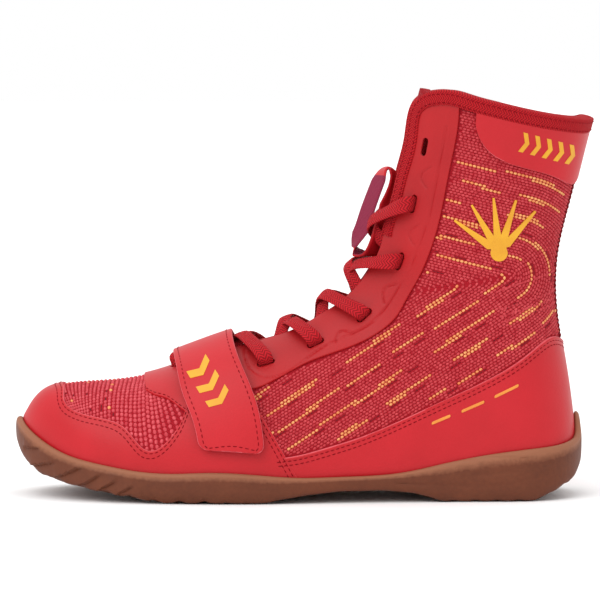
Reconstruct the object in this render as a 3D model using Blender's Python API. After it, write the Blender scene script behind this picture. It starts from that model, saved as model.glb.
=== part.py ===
"""Left boxing boot: toe towards -X, lateral side towards -Y, ground at z = 0.

Every upper panel is a strip of the last's surface, given by a few ribs of points and a pair of offsets
from that surface. Lengths inside the helpers are in millimetres; meshes are written in metres.
"""

import math

import bpy
import bmesh
import numpy as np
from mathutils import Vector
from mathutils.bvhtree import BVHTree
from mathutils.interpolate import poly_3d_calc

MM = 0.001
LATERAL = -1
MEDIAL = 1

# Layers, as offsets from the last's surface in mm: (inner face, outer face).
LINING = (-5.0, -3.8)
STIFFENER = (-3.0, -2.0)
MESH = (-1.6, -0.6)
OVERLAY = (0.4, 1.6)
TONGUE = (-11.8, -6.8)
PATCH = (1.0, 2.6)
BACK_TAPE = (0.2, 1.0)
LOOP_PAD = (2.4, 3.2)
HOOK_PAD = (3.6, 4.4)
STRAP_SIDE = (4.9, 6.4)
STRAP_TOP = (7.4, 8.9)
THROAT_GAP = 11.5

SOLE_GAP = 3.0
SOLE_LIP = 4.1
SOLE_BULGE = 4.4
OUTSOLE_FLOOR = 3.0
EDGE_LIFT = 2.2
MIDSOLE_TOE = 2.4
MIDSOLE_HEEL = 7.0
BOARD_THICKNESS = 1.2
SOCKLINER_THICKNESS = 3.0
PLATE_GAP = 0.4

LACE_WIDTH = 7.6
LACE_THICKNESS = 1.2
SLOT_LENGTH = 9.4
SLOT_WIDTH = 3.4

STRAP_HINGE = (-33.0, 49.9, 31.6)
TONGUE_HINGE = (59.0, 0.0, 168.0)

# The last's sections, toe to collar: front point (x, z) and back point (x, z) of each.
FRONT_LINE = ((-144, 39), (-139, 47.5), (-124, 56.3), (-100, 58.5), (-80, 61.5), (-60, 68), (-35, 77),
              (-10, 85), (8, 96), (20, 106.8), (28, 117), (33.5, 127), (37.5, 136), (40.5, 145), (43.5, 156),
              (46, 169), (48.5, 182), (51, 195), (53.5, 208), (56, 221))
BACK_LINE = ((-143, 25), (-137, 14.5), (-122, 7.5), (-100, 3.7), (-80, 1), (-58, -1), (-30, -1),
             (0, 2.5), (40, 4), (85, -1), (120, 0.5), (138, 11), (140, 38), (136, 67), (131.5, 95),
             (131.8, 125), (137.5, 150), (142.5, 170), (147, 188), (151, 203))
# Half-widths on each side of the ridge, and the ridge's own y.
LATERAL_HALF = (0, 17, 32, 43, 47.5, 50, 50.5, 47.5, 42.5, 38.5, 37, 36.5, 36, 35.5, 34.5, 33.5, 34, 36, 38.5, 40.5)
MEDIAL_HALF = (0, 15, 30, 39, 43, 44.5, 42.5, 37.5, 34.5, 34, 34.5, 35, 35, 35, 34, 33.5, 34, 36, 38.5, 40.5)
RIDGE_Y = (6, 6, 5.5, 4.5, 3.5, 3, 2.5, 2, 1.5, 1, 0.5, 0, 0, 0, 0, 0, 0, 0, 0, 0)
# Where each section is widest, as a share of its length from the front, and how square its halves are.
WIDEST = (0.5, 0.6, 0.68, 0.75, 0.78, 0.78, 0.78, 0.78, 0.76, 0.74, 0.7, 0.66, 0.6, 0.56, 0.54, 0.52, 0.5, 0.5,
          0.5, 0.5)
FRONT_POWER = (2, 2.2, 2.3, 2.3, 2.2, 2.1, 2, 1.9, 1.85, 1.85, 1.9, 1.9, 1.9, 2, 2, 2.1, 2.1, 2.1, 2.1, 2.1)
BACK_POWER = (2, 3, 4, 5, 5, 5, 5, 5, 4.6, 4, 3.2, 2.5, 2.2, 2.1, 2.1, 2.1, 2.1, 2.1, 2.1, 2.1)

# Underside and top edge of the sole, as (x, z).
SOLE_BOTTOM = ((-147, 27), (-138, 14.5), (-130, 11), (-116, 7.3), (-100, 4.5), (-84, 2), (-66, 0), (-24, 0),
               (-10, 1.8), (10, 4.6), (30, 5.6), (50, 5), (64, 2.4), (74, 0), (116, 0), (126, 3.4), (134, 7.2),
               (140, 13), (143, 21))
SOLE_TOP = ((-143.5, 39.7), (-133, 29.5), (-118.7, 22.5), (-100, 18.2), (-80, 15.2), (-64, 14.6), (-46, 15.2),
            (-25, 14.2), (-3.5, 12.6), (20, 12.8), (50, 14.5), (71, 18.6), (92, 22.6), (113, 25.4), (130, 27.4))
HEEL_CURL = 43.0


def cubic(knots, values, at):
    """Natural cubic spline through `values` at `knots`, read at the places `at`."""
    knots = np.asarray(knots, float)
    values = np.asarray(values, float)
    at = np.asarray(at, float)
    gaps = np.diff(knots)
    shape = (-1,) + (1,) * (values.ndim - 1)
    slopes = np.diff(values, axis=0) / gaps.reshape(shape)
    matrix = np.eye(len(knots))
    right = np.zeros_like(values)
    for i in range(1, len(knots) - 1):
        matrix[i, i - 1:i + 2] = gaps[i - 1], 2 * (gaps[i - 1] + gaps[i]), gaps[i]
        right[i] = 6 * (slopes[i] - slopes[i - 1])
    bend = np.linalg.solve(matrix, right.reshape(len(knots), -1)).reshape(values.shape)
    i = np.clip(np.searchsorted(knots, at, "right") - 1, 0, len(gaps) - 1)
    t = (at - knots[i]).reshape(shape)
    h = gaps[i].reshape(shape)
    linear = slopes[i] - h * (2 * bend[i] + bend[i + 1]) / 6
    return values[i] + t * (linear + t * (bend[i] / 2 + t * (bend[i + 1] - bend[i]) / (6 * h)))


def through(points, count):
    """`count` + 1 points along a spline through `points`, evenly spaced along their chords."""
    points = np.asarray(points, float)
    steps = np.linalg.norm(np.diff(points, axis=0).reshape(len(points) - 1, -1), axis=1)
    knots = np.concatenate([[0], np.cumsum(np.maximum(steps, 1e-6))])
    return cubic(knots, points, np.linspace(0, knots[-1], count + 1))


def monotone(table, at):
    """Smooth reading of an (x, z) table that never overshoots it."""
    x, z = np.array(table, float).T
    gaps = np.diff(x)
    slopes = np.diff(z) / gaps
    tangent = np.concatenate([slopes[:1], (slopes[1:] + slopes[:-1]) / 2, slopes[-1:]])
    flat = slopes[1:] * slopes[:-1] <= 0
    tangent[1:-1][flat] = 0
    for i, slope in enumerate(slopes):
        limit = 3 * abs(slope)
        tangent[i] = np.clip(tangent[i], -limit, limit)
        tangent[i + 1] = np.clip(tangent[i + 1], -limit, limit)
    at = np.clip(np.asarray(at, float), x[0], x[-1])
    i = np.clip(np.searchsorted(x, at, "right") - 1, 0, len(gaps) - 1)
    t = (at - x[i]) / gaps[i]
    start = z[i] + t * gaps[i] * tangent[i]
    end = z[i + 1] - (1 - t) * gaps[i] * tangent[i + 1]
    blend = t * t * (3 - 2 * t)
    plain = z[i] + (z[i + 1] - z[i]) * t
    return np.where(slopes[i] == 0, plain, start + (end - start) * blend)


class Last:
    """The boot's outer form, as a fine mesh that panels are laid on."""

    def __init__(self, stations=190, half_ring=70):
        front = np.array(FRONT_LINE, float)
        back = np.array(BACK_LINE, float)
        middle = (front + back) / 2
        run = np.concatenate([[0], np.cumsum(np.linalg.norm(np.diff(middle, axis=0), axis=1))])
        fine = np.linspace(0, 1, stations) ** 1.25 * run[-1]
        columns = [cubic(run, column, fine) for column in (front, back, RIDGE_Y, WIDEST, FRONT_POWER, BACK_POWER)]
        halves = [np.sqrt(np.maximum(cubic(run, np.square(half), fine), 0)) for half in (LATERAL_HALF, MEDIAL_HALF)]
        rings = []
        for i in range(stations):
            f, b, ridge, widest, fp, bp = [column[i] for column in columns]
            sides = [self.half_section(f, b, ridge, hand * half[i], widest, fp, bp, half_ring)
                     for hand, half in zip((LATERAL, MEDIAL), halves)]
            rings.append(np.concatenate([sides[0], sides[1][-2:0:-1]]))
        self.rings = np.array(rings)
        self.normals = self.ring_normals()
        count = self.rings.shape[1]
        self.corners = [(i * count + j, i * count + (j + 1) % count, (i + 1) * count + (j + 1) % count,
                         (i + 1) * count + j) for i in range(stations - 1) for j in range(count)]
        self.points = [Vector(p) for p in self.rings.reshape(-1, 3)]
        self.flat_normals = [Vector(n) for n in self.normals.reshape(-1, 3)]
        self.tree = BVHTree.FromPolygons(self.points, self.corners)

    @staticmethod
    def half_section(front, back, ridge, width, widest, front_power, back_power, count):
        """Points from the front to the back of one half of a section, evenly spaced round it."""
        angle = np.linspace(0, math.pi / 2, 300)
        upper = widest * (1 - np.cos(angle) ** (2 / front_power))
        upper_side = np.sin(angle) ** (2 / front_power)
        lower = widest + (1 - widest) * np.cos(angle[::-1]) ** (2 / back_power)
        lower_side = np.sin(angle[::-1]) ** (2 / back_power)
        share = np.concatenate([upper, lower[1:]])
        side = np.concatenate([upper_side, lower_side[1:]])
        line = front + share[:, None] * (back - front)
        path = np.stack([line[:, 0], ridge + width * side, line[:, 1]], axis=1)
        length = np.concatenate([[0], np.cumsum(np.linalg.norm(np.diff(path, axis=0), axis=1))])
        even = np.linspace(0, length[-1], count)
        return np.stack([np.interp(even, length, path[:, k]) for k in range(3)], axis=1)

    def ring_normals(self):
        round_ring = np.roll(self.rings, -1, axis=1) - np.roll(self.rings, 1, axis=1)
        along = np.gradient(self.rings, axis=0)
        normals = np.cross(along, round_ring)
        normals[0] = normals[1] * (1, 0, 1)
        normals /= np.maximum(np.linalg.norm(normals, axis=2, keepdims=True), 1e-12)
        outward = self.rings[60] - self.rings[60].mean(axis=0)
        return normals * np.sign((normals[60] * outward).sum())

    def at(self, point):
        """(point, normal) of the surface nearest to `point`."""
        place, _, index, _ = self.tree.find_nearest(Vector(point))
        corners = self.corners[index]
        weights = poly_3d_calc([self.points[c] for c in corners], place)
        normal = sum((self.flat_normals[c] * w for c, w in zip(corners, weights)), Vector())
        return np.array(place), np.array(normal.normalized())

    def cast(self, start, direction):
        """Where a ray meets the surface, or the nearest point to its start if it misses."""
        hit = self.tree.ray_cast(Vector(start), Vector(direction))[0]
        return self.at(start)[0] if hit is None else np.array(hit)

    def side(self, x, z, hand=LATERAL):
        """The surface point seen at (x, z) from one side."""
        return self.cast((x, hand * 200, z), (0, -hand, 0))

    def top(self, x, y):
        return self.cast((x, y, 400), (0, 0, -1))

    def front(self, y, z):
        return self.cast((-400, y, z), (1, 0, 0))

    def path(self, start, end, count):
        """`count` + 1 surface points from `start` to `end` along a nearly straight line on the surface."""
        if count == 1:
            return [start, end]
        first = count // 2
        middle = self.at(start + (end - start) * (first / count))[0]
        return self.path(start, middle, first) + self.path(middle, end, count - first)[1:]


LAST = Last()
side, top, front = LAST.side, LAST.top, LAST.front


def patch_grid(ribs, along, across):
    """Surface points and normals of a panel: `ribs` are lists of points, splined along and joined across."""
    ribs = np.array(ribs, float)
    smooth = through(ribs, along)
    rows = []
    for rib in smooth:
        rib = [LAST.at(p)[0] for p in rib]
        row = [rib[0]]
        for start, end, count in zip(rib, rib[1:], across):
            row += LAST.path(start, end, count)[1:]
        rows.append(row)
    points = np.array(rows)
    normals = np.array([[LAST.at(p)[1] for p in row] for row in points])
    return points, normals


def slab_faces(rows, columns):
    """Faces of a closed slab between two grids of points, the outer one first."""
    size = rows * columns
    faces = []
    for i in range(rows - 1):
        for j in range(columns - 1):
            a, b, c, d = i * columns + j, i * columns + j + 1, (i + 1) * columns + j + 1, (i + 1) * columns + j
            faces.append((a, b, c, d))
            faces.append((d + size, c + size, b + size, a + size))
    border = [j for j in range(columns)] + [i * columns + columns - 1 for i in range(1, rows)]
    border += [(rows - 1) * columns + j for j in range(columns - 2, -1, -1)]
    border += [i * columns for i in range(rows - 2, 0, -1)]
    for a, b in zip(border, border[1:] + border[:1]):
        faces.append((b, a, a + size, b + size))
    return faces


def material(name, colour, roughness, metallic=0.0):
    made = bpy.data.materials.get(name) or bpy.data.materials.new(name)
    made.use_nodes = True
    shader = made.node_tree.nodes["Principled BSDF"]
    shader.inputs["Base Color"].default_value = (*colour, 1)
    shader.inputs["Roughness"].default_value = roughness
    shader.inputs["Metallic"].default_value = metallic
    return made


COATED = material("coated_red", (0.66, 0.035, 0.055), 0.42)
KNIT = material("knit_red", (0.5, 0.03, 0.05), 0.85)
TAPE = material("tape_red", (0.5, 0.015, 0.025), 0.8)
LINING_CLOTH = material("lining_red", (0.35, 0.015, 0.025), 0.9)
GUM = material("gum_rubber", (0.24, 0.085, 0.045), 0.6)
FOAM = material("foam", (0.75, 0.72, 0.66), 0.9)
BOARD = material("board", (0.45, 0.33, 0.2), 0.9)
YELLOW = material("yellow_print", (0.9, 0.5, 0.01), 0.5)


def build(name, vertices, faces, surface, parent=None):
    """One closed object, its origin at its parent's place or in its own middle; vertices in mm."""
    vertices = np.asarray(vertices, float) * MM
    origin = np.array(parent.location) if parent else (vertices.min(axis=0) + vertices.max(axis=0)) / 2
    mesh = bpy.data.meshes.new(name)
    mesh.from_pydata([tuple(v) for v in vertices - origin], [], faces)
    work = bmesh.new()
    work.from_mesh(mesh)
    bmesh.ops.remove_doubles(work, verts=work.verts, dist=1e-5)
    bmesh.ops.recalc_face_normals(work, faces=work.faces)
    work.to_mesh(mesh)
    work.free()
    mesh.shade_smooth()
    mesh.set_sharp_from_angle(angle=math.radians(40))
    mesh.materials.append(surface)
    made = bpy.data.objects.new(name, mesh)
    bpy.context.scene.collection.objects.link(made)
    made.parent = parent
    if not parent:
        made.location = origin
    return made


def panel(name, ribs, along, across, layer, surface, parent=None):
    """A panel of the upper. `layer` is (inner, outer) in mm, or a function of the points giving both."""
    points, normals = patch_grid(ribs, along, across)
    inner, outer = layer(points) if callable(layer) else layer
    inner = np.broadcast_to(np.asarray(inner, float), points.shape[:2])[..., None]
    outer = np.broadcast_to(np.asarray(outer, float), points.shape[:2])[..., None]
    vertices = np.concatenate([(points + normals * outer).reshape(-1, 3), (points + normals * inner).reshape(-1, 3)])
    return build(name, vertices, slab_faces(*points.shape[:2]), surface, parent)


def empty(name, place):
    made = bpy.data.objects.new(name, None)
    made.location = [value * MM for value in place]
    bpy.context.scene.collection.objects.link(made)
    return made


def edge_height(x):
    """Height at which the upper's panels end, just above the outsole's floor."""
    return float(monotone(SOLE_BOTTOM, x)) + OUTSOLE_FLOOR + EDGE_LIFT


def foot_edge(x, hand):
    """A panel's lower edge point at x, down inside the sole."""
    return side(x, edge_height(x), hand)


TOE_EDGE = LAST.at((-143.5, 6, 31))[0]
HEEL_EDGE = LAST.at((139, 0, 24))[0]

# Side-view lines of the panels, (x, z) in mm, front to back or bottom to top.
TOE_PANEL_TOP = ((-120, 47), (-108, 42.5), (-92, 38.5), (-86, 33), (-80, 27), (-74, 26.5), (-68, 31), (-61, 41),
                 (-57, 50))
TOE_PANEL_BOTTOM_X = (-128, -115, -102, -93, -85, -76, -66, -54, -42)
TOE_PANEL_REAR = ((-50, 54), (-40, 55), (-27, 53.5))
TOE_PANEL_REAR_X = (-30, -15, -0.3)
EYESTAY_REAR = ((-46, 59), (-24, 57), (-1, 68), (29.4, 79.5), (45.6, 90), (54, 103), (63.3, 121.5), (70, 143),
                (74.5, 166), (79, 190), (80, 206))
HEEL_PANEL_TOP = ((-4.5, 23.5), (10, 27), (30, 33), (50, 41), (72, 51), (93, 61), (113, 73), (126, 82))
HEEL_PANEL_BOTTOM_X = (0.5, 13, 31, 50, 71, 92, 112, 128)
COLLAR_CORNER = ((61.5, 204), (68, 206.6))
COLLAR_FRONT = (77, 206.5)
COLLAR_BACK_Z = 187.5


def throat_edge(hand, gap=THROAT_GAP):
    """Points along the throat's edge on one side, from its foot up to the collar."""
    low = [top(x, ridge + hand * gap) for x, ridge in ((-51, 2.7), (-24, 2.2), (-4, 1.8), (12, 1.2), (22, 0.8))]
    high = [front(hand * (gap + more), z)
            for z, more in ((118, 0.3), (134.5, 1.0), (147, 2.2), (166, 4.5), (184, 6.5), (200, 8))]
    return low + high


def both_hands(make):
    for hand, word in ((LATERAL, "lateral"), (MEDIAL, "medial")):
        make(hand, word)


def make_toe_panel():
    ribs = []
    for hand in (LATERAL, MEDIAL):
        half = [(side(-141, 32, hand), top(-127, 5.5 + hand * 12))]
        half += [(foot_edge(x, hand), side(*point, hand)) for x, point in zip(TOE_PANEL_BOTTOM_X, TOE_PANEL_TOP)]
        half += [(foot_edge(x, hand), side(*point, hand)) for x, point in zip(TOE_PANEL_REAR_X, TOE_PANEL_REAR)]
        ribs.append(half)
    middle = [(TOE_EDGE, top(-129, 5.5))]
    panel("toe_panel", ribs[0][::-1] + middle + ribs[1], 54, (5,), OVERLAY, COATED)


def make_toe_puff():
    ribs = []
    for hand in (LATERAL, MEDIAL):
        half = [(side(-141, 32, hand), top(-133, 5.5 + hand * 12))]
        half += [(foot_edge(x, hand), side(px, pz - 10, hand))
                 for x, (px, pz) in zip(TOE_PANEL_BOTTOM_X[:3], TOE_PANEL_TOP[:3])]
        ribs.append(half)
    middle = [(TOE_EDGE, top(-135, 5.7))]
    panel("toe_puff", ribs[0][::-1] + middle + ribs[1], 20, (3,), STIFFENER, BOARD)


def make_vamp_mesh():
    """The mesh over the toe box, from under the toe panel's edge to under the overlay."""
    ribs = []
    for (x, z), ridge_x, near_x, ridge_y in (((-120, 45), -134, -131.5, 5.5), ((-107, 37), -109, -109, 5),
                                             ((-92, 31), -92, -92, 4.2), ((-77, 23), -80, -80, 3.4),
                                             ((-53, 46), -72, -71, 3)):
        ribs.append((side(x, z, LATERAL), top(near_x, ridge_y - 13), top(ridge_x, ridge_y),
                     top(near_x, ridge_y + 13), side(x, z, MEDIAL)))
    panel("vamp_mesh", ribs, 10, (6, 3, 3, 6), MESH, KNIT)


def make_vamp_overlay():
    ribs = []
    for x, z, ridge_x in ((-79, 54, -81.5), (-74, 50.5, -76), (-66, 48, -68), (-60.5, 52, -62), (-55, 56, -57.8)):
        ribs.append((side(x, z, LATERAL), top(ridge_x, 3), side(x, z, MEDIAL)))
    made = panel("vamp_overlay", ribs, 4, (5, 5), OVERLAY, COATED)
    for hand, word in ((LATERAL, "lateral"), (MEDIAL, "medial")):
        cut_slot(made, slots(hand)[0], f"throat_slot_cutter_{word}")


def back_seam(z, y, hand):
    """A point near the back seam, y from the middle."""
    return LAST.at((170, hand * y, z))[0] * (1, 0, 1) + np.array([0, hand * y, 0])


def make_quarter_mesh(hand, word):
    front_line = ((-30, 57), (-2, 70), (28, 81.5), (43.5, 92), (52, 105), (61, 123), (67.5, 144.5), (72, 167),
                  (76, 190), COLLAR_FRONT)
    rear_line = [side(x, z, hand) for x, z in ((-3, 13), (40, 31), (76, 47), (104, 62), (122, 73))]
    rear_line += [back_seam(z, y, hand) for z, y in ((82, 5.5), (106, 2), (132, 1.5), (158, 1.5), (COLLAR_BACK_Z, 1.5))]
    ribs = [(side(x, z, hand), rear) for (x, z), rear in zip(front_line, rear_line)]
    panel(f"quarter_mesh_{word}", ribs, 16, (8,), MESH, KNIT)


def make_eyestay(hand, word):
    inner = throat_edge(hand)
    outer = [side(x, z, hand) for x, z in EYESTAY_REAR]
    made = panel(f"eyestay_{word}", list(zip(inner, outer)), 26, (4,), OVERLAY, COATED)
    for index, place in enumerate(slots(hand)[1:]):
        cut_slot(made, place, f"slot_cutter_{word}_{index}")
    return made


THROAT_FOOT_X = -64
SLOT_POINTS = ((-42.8, 63), (-18.3, 69), (7.1, 79), (32.1, 93), (50.4, 121), (57.1, 150.4), (62.7, 179.5))


def slots(hand):
    """(centre, normal, long direction) of each lace slot on one side; the first is in the throat's foot."""
    found = []
    places = [top(THROAT_FOOT_X, 3 + hand * 9.5)] + [side(x, z, hand) for x, z in SLOT_POINTS]
    for i, place in enumerate(places):
        point, normal = LAST.at(place)
        run = places[min(i + 1, len(places) - 1)] - places[max(i - 1, 0)]
        run = run - normal * run.dot(normal)
        found.append((point, normal, run / np.linalg.norm(run)))
    return found


def cut_slot(target, slot, name):
    """Cuts one rounded lace slot with a hidden cutter."""
    point, normal, run = slot
    across = np.cross(normal, run)
    radius = SLOT_WIDTH / 2
    straight = SLOT_LENGTH / 2 - radius
    outline = []
    for centre, start in ((straight, -90), (-straight, 90)):
        for step in range(5):
            angle = math.radians(start + 45 * step)
            outline.append((centre + radius * math.cos(angle), radius * math.sin(angle)))
    vertices = [point + run * a + across * b + normal * h for h in (-4, 5) for a, b in outline]
    count = len(outline)
    faces = [tuple(range(count))[::-1], tuple(range(count, 2 * count))]
    faces += [(i, (i + 1) % count, (i + 1) % count + count, i + count) for i in range(count)]
    cutter = build(name, vertices, faces, COATED)
    cutter.hide_render = True
    cutter.display_type = "WIRE"
    hole = target.modifiers.new(name, "BOOLEAN")
    hole.object = cutter
    hole.operation = "DIFFERENCE"


def make_heel_panel():
    halves = []
    for hand in (LATERAL, MEDIAL):
        halves.append([(foot_edge(x, hand), side(*point, hand))
                       for x, point in zip(HEEL_PANEL_BOTTOM_X, HEEL_PANEL_TOP)])
    middle = [(HEEL_EDGE, LAST.at((160, 0, 84))[0])]
    panel("heel_panel", halves[0] + middle + halves[1][::-1], 36, (6,), OVERLAY, COATED)


def make_heel_counter():
    halves = []
    for hand in (LATERAL, MEDIAL):
        halves.append([(side(x, edge_height(x) + 4, hand), side(px, pz - 10, hand))
                       for x, (px, pz) in zip(HEEL_PANEL_BOTTOM_X[3:], HEEL_PANEL_TOP[3:])])
    middle = [(LAST.at((160, 0, 28))[0], LAST.at((160, 0, 72))[0])]
    panel("heel_counter", halves[0] + middle + halves[1][::-1], 20, (4,), STIFFENER, BOARD)


def make_vamp_lining():
    """The front lining closes round the toe and reaches back to the throat's foot."""
    ribs = [(TOE_EDGE, TOE_EDGE, TOE_EDGE)]
    for x, ridge_x in ((-139, -141), (-128, -130), (-112, -112), (-92, -92), (-62, -71)):
        ribs.append((foot_edge(x, LATERAL), top(ridge_x, 4.5), foot_edge(x, MEDIAL)))
    panel("vamp_lining", ribs, 12, (7, 7), LINING, LINING_CLOTH)


def make_quarter_lining(hand, word):
    front_line = ((-56, 50), (-38, 56), (-12, 63), (15, 74), (38, 87), (54, 112), (61, 130), (66, 150), (70.5, 170),
                  (74, 188), COLLAR_FRONT)
    rear_line = [foot_edge(x, hand) for x in (-60, -35, -2, 35, 75, 115)]
    rear_line += [back_seam(z, y, hand) for z, y in ((32, 9), (66, 2.5), (108, 1.6), (150, 1.5), (COLLAR_BACK_Z, 1.5))]
    ribs = [(side(x, z, hand), rear) for (x, z), rear in zip(front_line, rear_line)]
    panel(f"quarter_lining_{word}", ribs, 20, (9,), LINING, LINING_CLOTH)


def sole_halves(count):
    """The last's feather line on each side, toe to heel, as (points, outward plan directions)."""
    halves = []
    for hand in (LATERAL, MEDIAL):
        line = [LAST.at((-146, 6, 39.7))[0], side(-141.5, 36, hand)]
        line += [side(x, z, hand) for x, z in SOLE_TOP[1:]]
        line.append(side(136, 29, hand))
        line += [LAST.at((150, hand * y, z))[0] for y, z in ((14, 33), (6, 39.5), (0, HEEL_CURL))]
        points = through(line, count)
        run = np.gradient(points, axis=0)
        outward = np.stack([-run[:, 1], run[:, 0]], axis=1) * hand
        outward /= np.linalg.norm(outward, axis=1, keepdims=True)
        outward[0] = (-1, 0)
        outward[-1] = (1, 0)
        halves.append((points, np.column_stack([outward, np.zeros(len(outward))])))
    return halves


def ring_of(lateral, medial):
    """One closed ring from two toe-to-heel halves that share their ends."""
    return np.concatenate([lateral, medial[-2:0:-1]])


def ladder_faces(start, half, flip):
    """Faces that close a ring of 2 * half vertices, pairing its two halves."""
    count = 2 * half
    faces = []
    for j in range(half):
        a, b = start + j, start + j + 1
        c, d = start + (count - j - 1) % count, start + (count - j) % count
        face = [a, b, c, d]
        face = [v for i, v in enumerate(face) if v not in face[:i]]
        faces.append(tuple(face[::-1] if flip else face))
    return faces


def make_outsole():
    count = 30
    rings = []
    for points, outward in sole_halves(count):
        points = points.copy()
        bottom_x = (points + outward * 1.5)[:, 0]
        low = monotone(SOLE_BOTTOM, bottom_x)
        height = points[:, 2] - low
        tall = np.array([0, 0, 1.0])
        rows = [points + outward * SOLE_GAP + tall * (low + OUTSOLE_FLOOR - points[:, 2])[:, None],
                points + outward * SOLE_GAP,
                points + outward * SOLE_LIP,
                points + outward * SOLE_BULGE - tall * (0.4 * height)[:, None],
                points + outward * SOLE_LIP - tall * (0.78 * height)[:, None],
                points + outward * 0.5 + tall * (low + 0.4 - points[:, 2])[:, None],
                points - outward * 4.0 + tall * (low - points[:, 2])[:, None]]
        rows[-1][:, 2] = monotone(SOLE_BOTTOM, rows[-1][:, 0])
        rows[-2][:, 2] = monotone(SOLE_BOTTOM, rows[-2][:, 0]) + 0.5
        rings.append(rows)
    loops = [ring_of(a, b) for a, b in zip(*rings)]
    size = 2 * count
    faces = [(r * size + j, r * size + (j + 1) % size, (r + 1) * size + (j + 1) % size, (r + 1) * size + j)
             for r in range(len(loops) - 1) for j in range(size)]
    faces += ladder_faces(0, count, True) + ladder_faces((len(loops) - 1) * size, count, False)
    build("outsole", np.concatenate(loops), faces, GUM)


def make_plate(name, low, high, inset, surface):
    """A plate inside the upper. `low` and `high` are heights above the sole's underside as functions of x."""
    count = 22
    rings = []
    for points, outward in sole_halves(count):
        edge = []
        for point, away in zip(points, outward):
            z = edge_height(point[0])
            wall = LAST.cast((point[0] + away[0] * 40, point[1] + away[1] * 40, z), tuple(-away))
            edge.append(wall - away * inset)
        edge = np.array(edge)
        ground = monotone(SOLE_BOTTOM, edge[:, 0])
        rows = []
        for height in (low, high):
            row = edge.copy()
            row[:, 2] = ground + height(edge[:, 0])
            rows.append(row)
        rings.append(rows)
    loops = [ring_of(a, b) for a, b in zip(*rings)]
    size = 2 * count
    faces = [(j, (j + 1) % size, (j + 1) % size + size, j + size) for j in range(size)]
    faces += ladder_faces(0, count, False) + ladder_faces(size, count, True)
    build(name, np.concatenate(loops), faces, surface)


def midsole_top(x):
    """The midsole is thin under the toes and rises to the heel."""
    rise = np.clip((np.asarray(x) + 60) / 120, 0, 1)
    return OUTSOLE_FLOOR + MIDSOLE_TOE + (MIDSOLE_HEEL - MIDSOLE_TOE) * rise * rise * (3 - 2 * rise)


def make_sole_plates():
    inset = -LINING[0] + 2.6
    make_plate("midsole", lambda x: OUTSOLE_FLOOR + 2 * PLATE_GAP + 0 * x, midsole_top, inset, FOAM)
    make_plate("insole_board", lambda x: midsole_top(x) + PLATE_GAP,
               lambda x: midsole_top(x) + PLATE_GAP + BOARD_THICKNESS, inset, BOARD)
    board_top = 2 * PLATE_GAP + BOARD_THICKNESS
    make_plate("sockliner", lambda x: midsole_top(x) + board_top,
               lambda x: midsole_top(x) + board_top + SOCKLINER_THICKNESS, inset + 0.4, LINING_CLOTH)


def make_back_strip():
    ribs = []
    for z in (81, 95, 109, 123, 137, 151, 164.5):
        ribs.append([LAST.cast((400, hand * 5.5, z), (-1, 0, 0)) for hand in (LATERAL, MEDIAL)])
    panel("back_strip", ribs, 8, (2,), BACK_TAPE, TAPE)


COLLAR_PATCH = (((86, 183), (88, 195.5)), ((98, 177), (99, 192.5)), ((111, 171.5), (112, 189)),
                ((124, 167), (124, 185)), ((134, 163), (135, 181)))


def make_collar_patch():
    halves = []
    for hand in (LATERAL, MEDIAL):
        halves.append([(side(*low, hand), side(*high, hand)) for low, high in COLLAR_PATCH])
    middle = [(LAST.at((170, 0, 159))[0], LAST.at((170, 0, 176.5))[0])]
    panel("collar_patch", halves[0] + middle + halves[1][::-1], 22, (3,), PATCH, COATED)
    for hand, word in ((LATERAL, "lateral"), (MEDIAL, "medial")):
        band = [(side(x, z - 3.2, hand), side(x, z + 3.2, hand)) for x, z in ((107, 184), (116, 181.8), (125, 179))]
        panel(f"patch_trim_{word}", band, 5, (1,), (2.9, 3.4), YELLOW)


def make_collar_binding():
    """Tape folded over the throat's upper edges and the collar: a U section swept along the panels' edge."""
    halves = []
    for hand in (LATERAL, MEDIAL):
        line = throat_edge(hand)[6:] + [side(x, z, hand) for x, z in COLLAR_CORNER]
        halves.append(line + LAST.path(side(*COLLAR_FRONT, hand), back_seam(COLLAR_BACK_Z, 1.5, hand), 8))
    line = halves[0] + halves[1][::-1]
    path = [LAST.at(p) for p in through(line, 48)]
    total = len(path)
    vertices = []
    for i, (point, normal) in enumerate(path):
        run = path[min(i + 1, total - 1)][0] - path[max(i - 1, 0)][0]
        into = np.cross(run / np.linalg.norm(run), normal)
        down, down_normal = LAST.at(point + into * 6)
        share = min(i, total - 1 - i) / (total - 1)
        blend = np.clip((share - 0.12) / 0.08, 0, 1)
        inner = -0.4 + (LINING[0] - 0.5 + 0.4) * blend
        for base, away, out in ((down, down_normal, 2.9), (point - into * 1.6, normal, 2.9),
                                (point - into * 1.6, normal, inner - 0.8), (down, down_normal, inner - 0.8),
                                (down, down_normal, inner), (point - into * 0.8, normal, inner),
                                (point - into * 0.8, normal, 2.1), (down, down_normal, 2.1)):
            vertices.append(base + away * out)
    faces = [(i * 8 + j, i * 8 + (j + 1) % 8, (i + 1) * 8 + (j + 1) % 8, (i + 1) * 8 + j)
             for i in range(total - 1) for j in range(8)]
    for start in (0, (total - 1) * 8):
        faces += [(start, start + 1, start + 6, start + 7), (start + 1, start + 2, start + 5, start + 6),
                  (start + 2, start + 3, start + 4, start + 5)]
    build("collar_binding", vertices, faces, TAPE)


def tongue_rib(x=None, z=None, half=23.0):
    """Three points across the tongue: at x on the foot, at z on the shaft."""
    if z is None:
        return top(x, 2 - half), top(x, 2), top(x, 2 + half)
    return front(-half, z), front(0, z), front(half, z)


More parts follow.
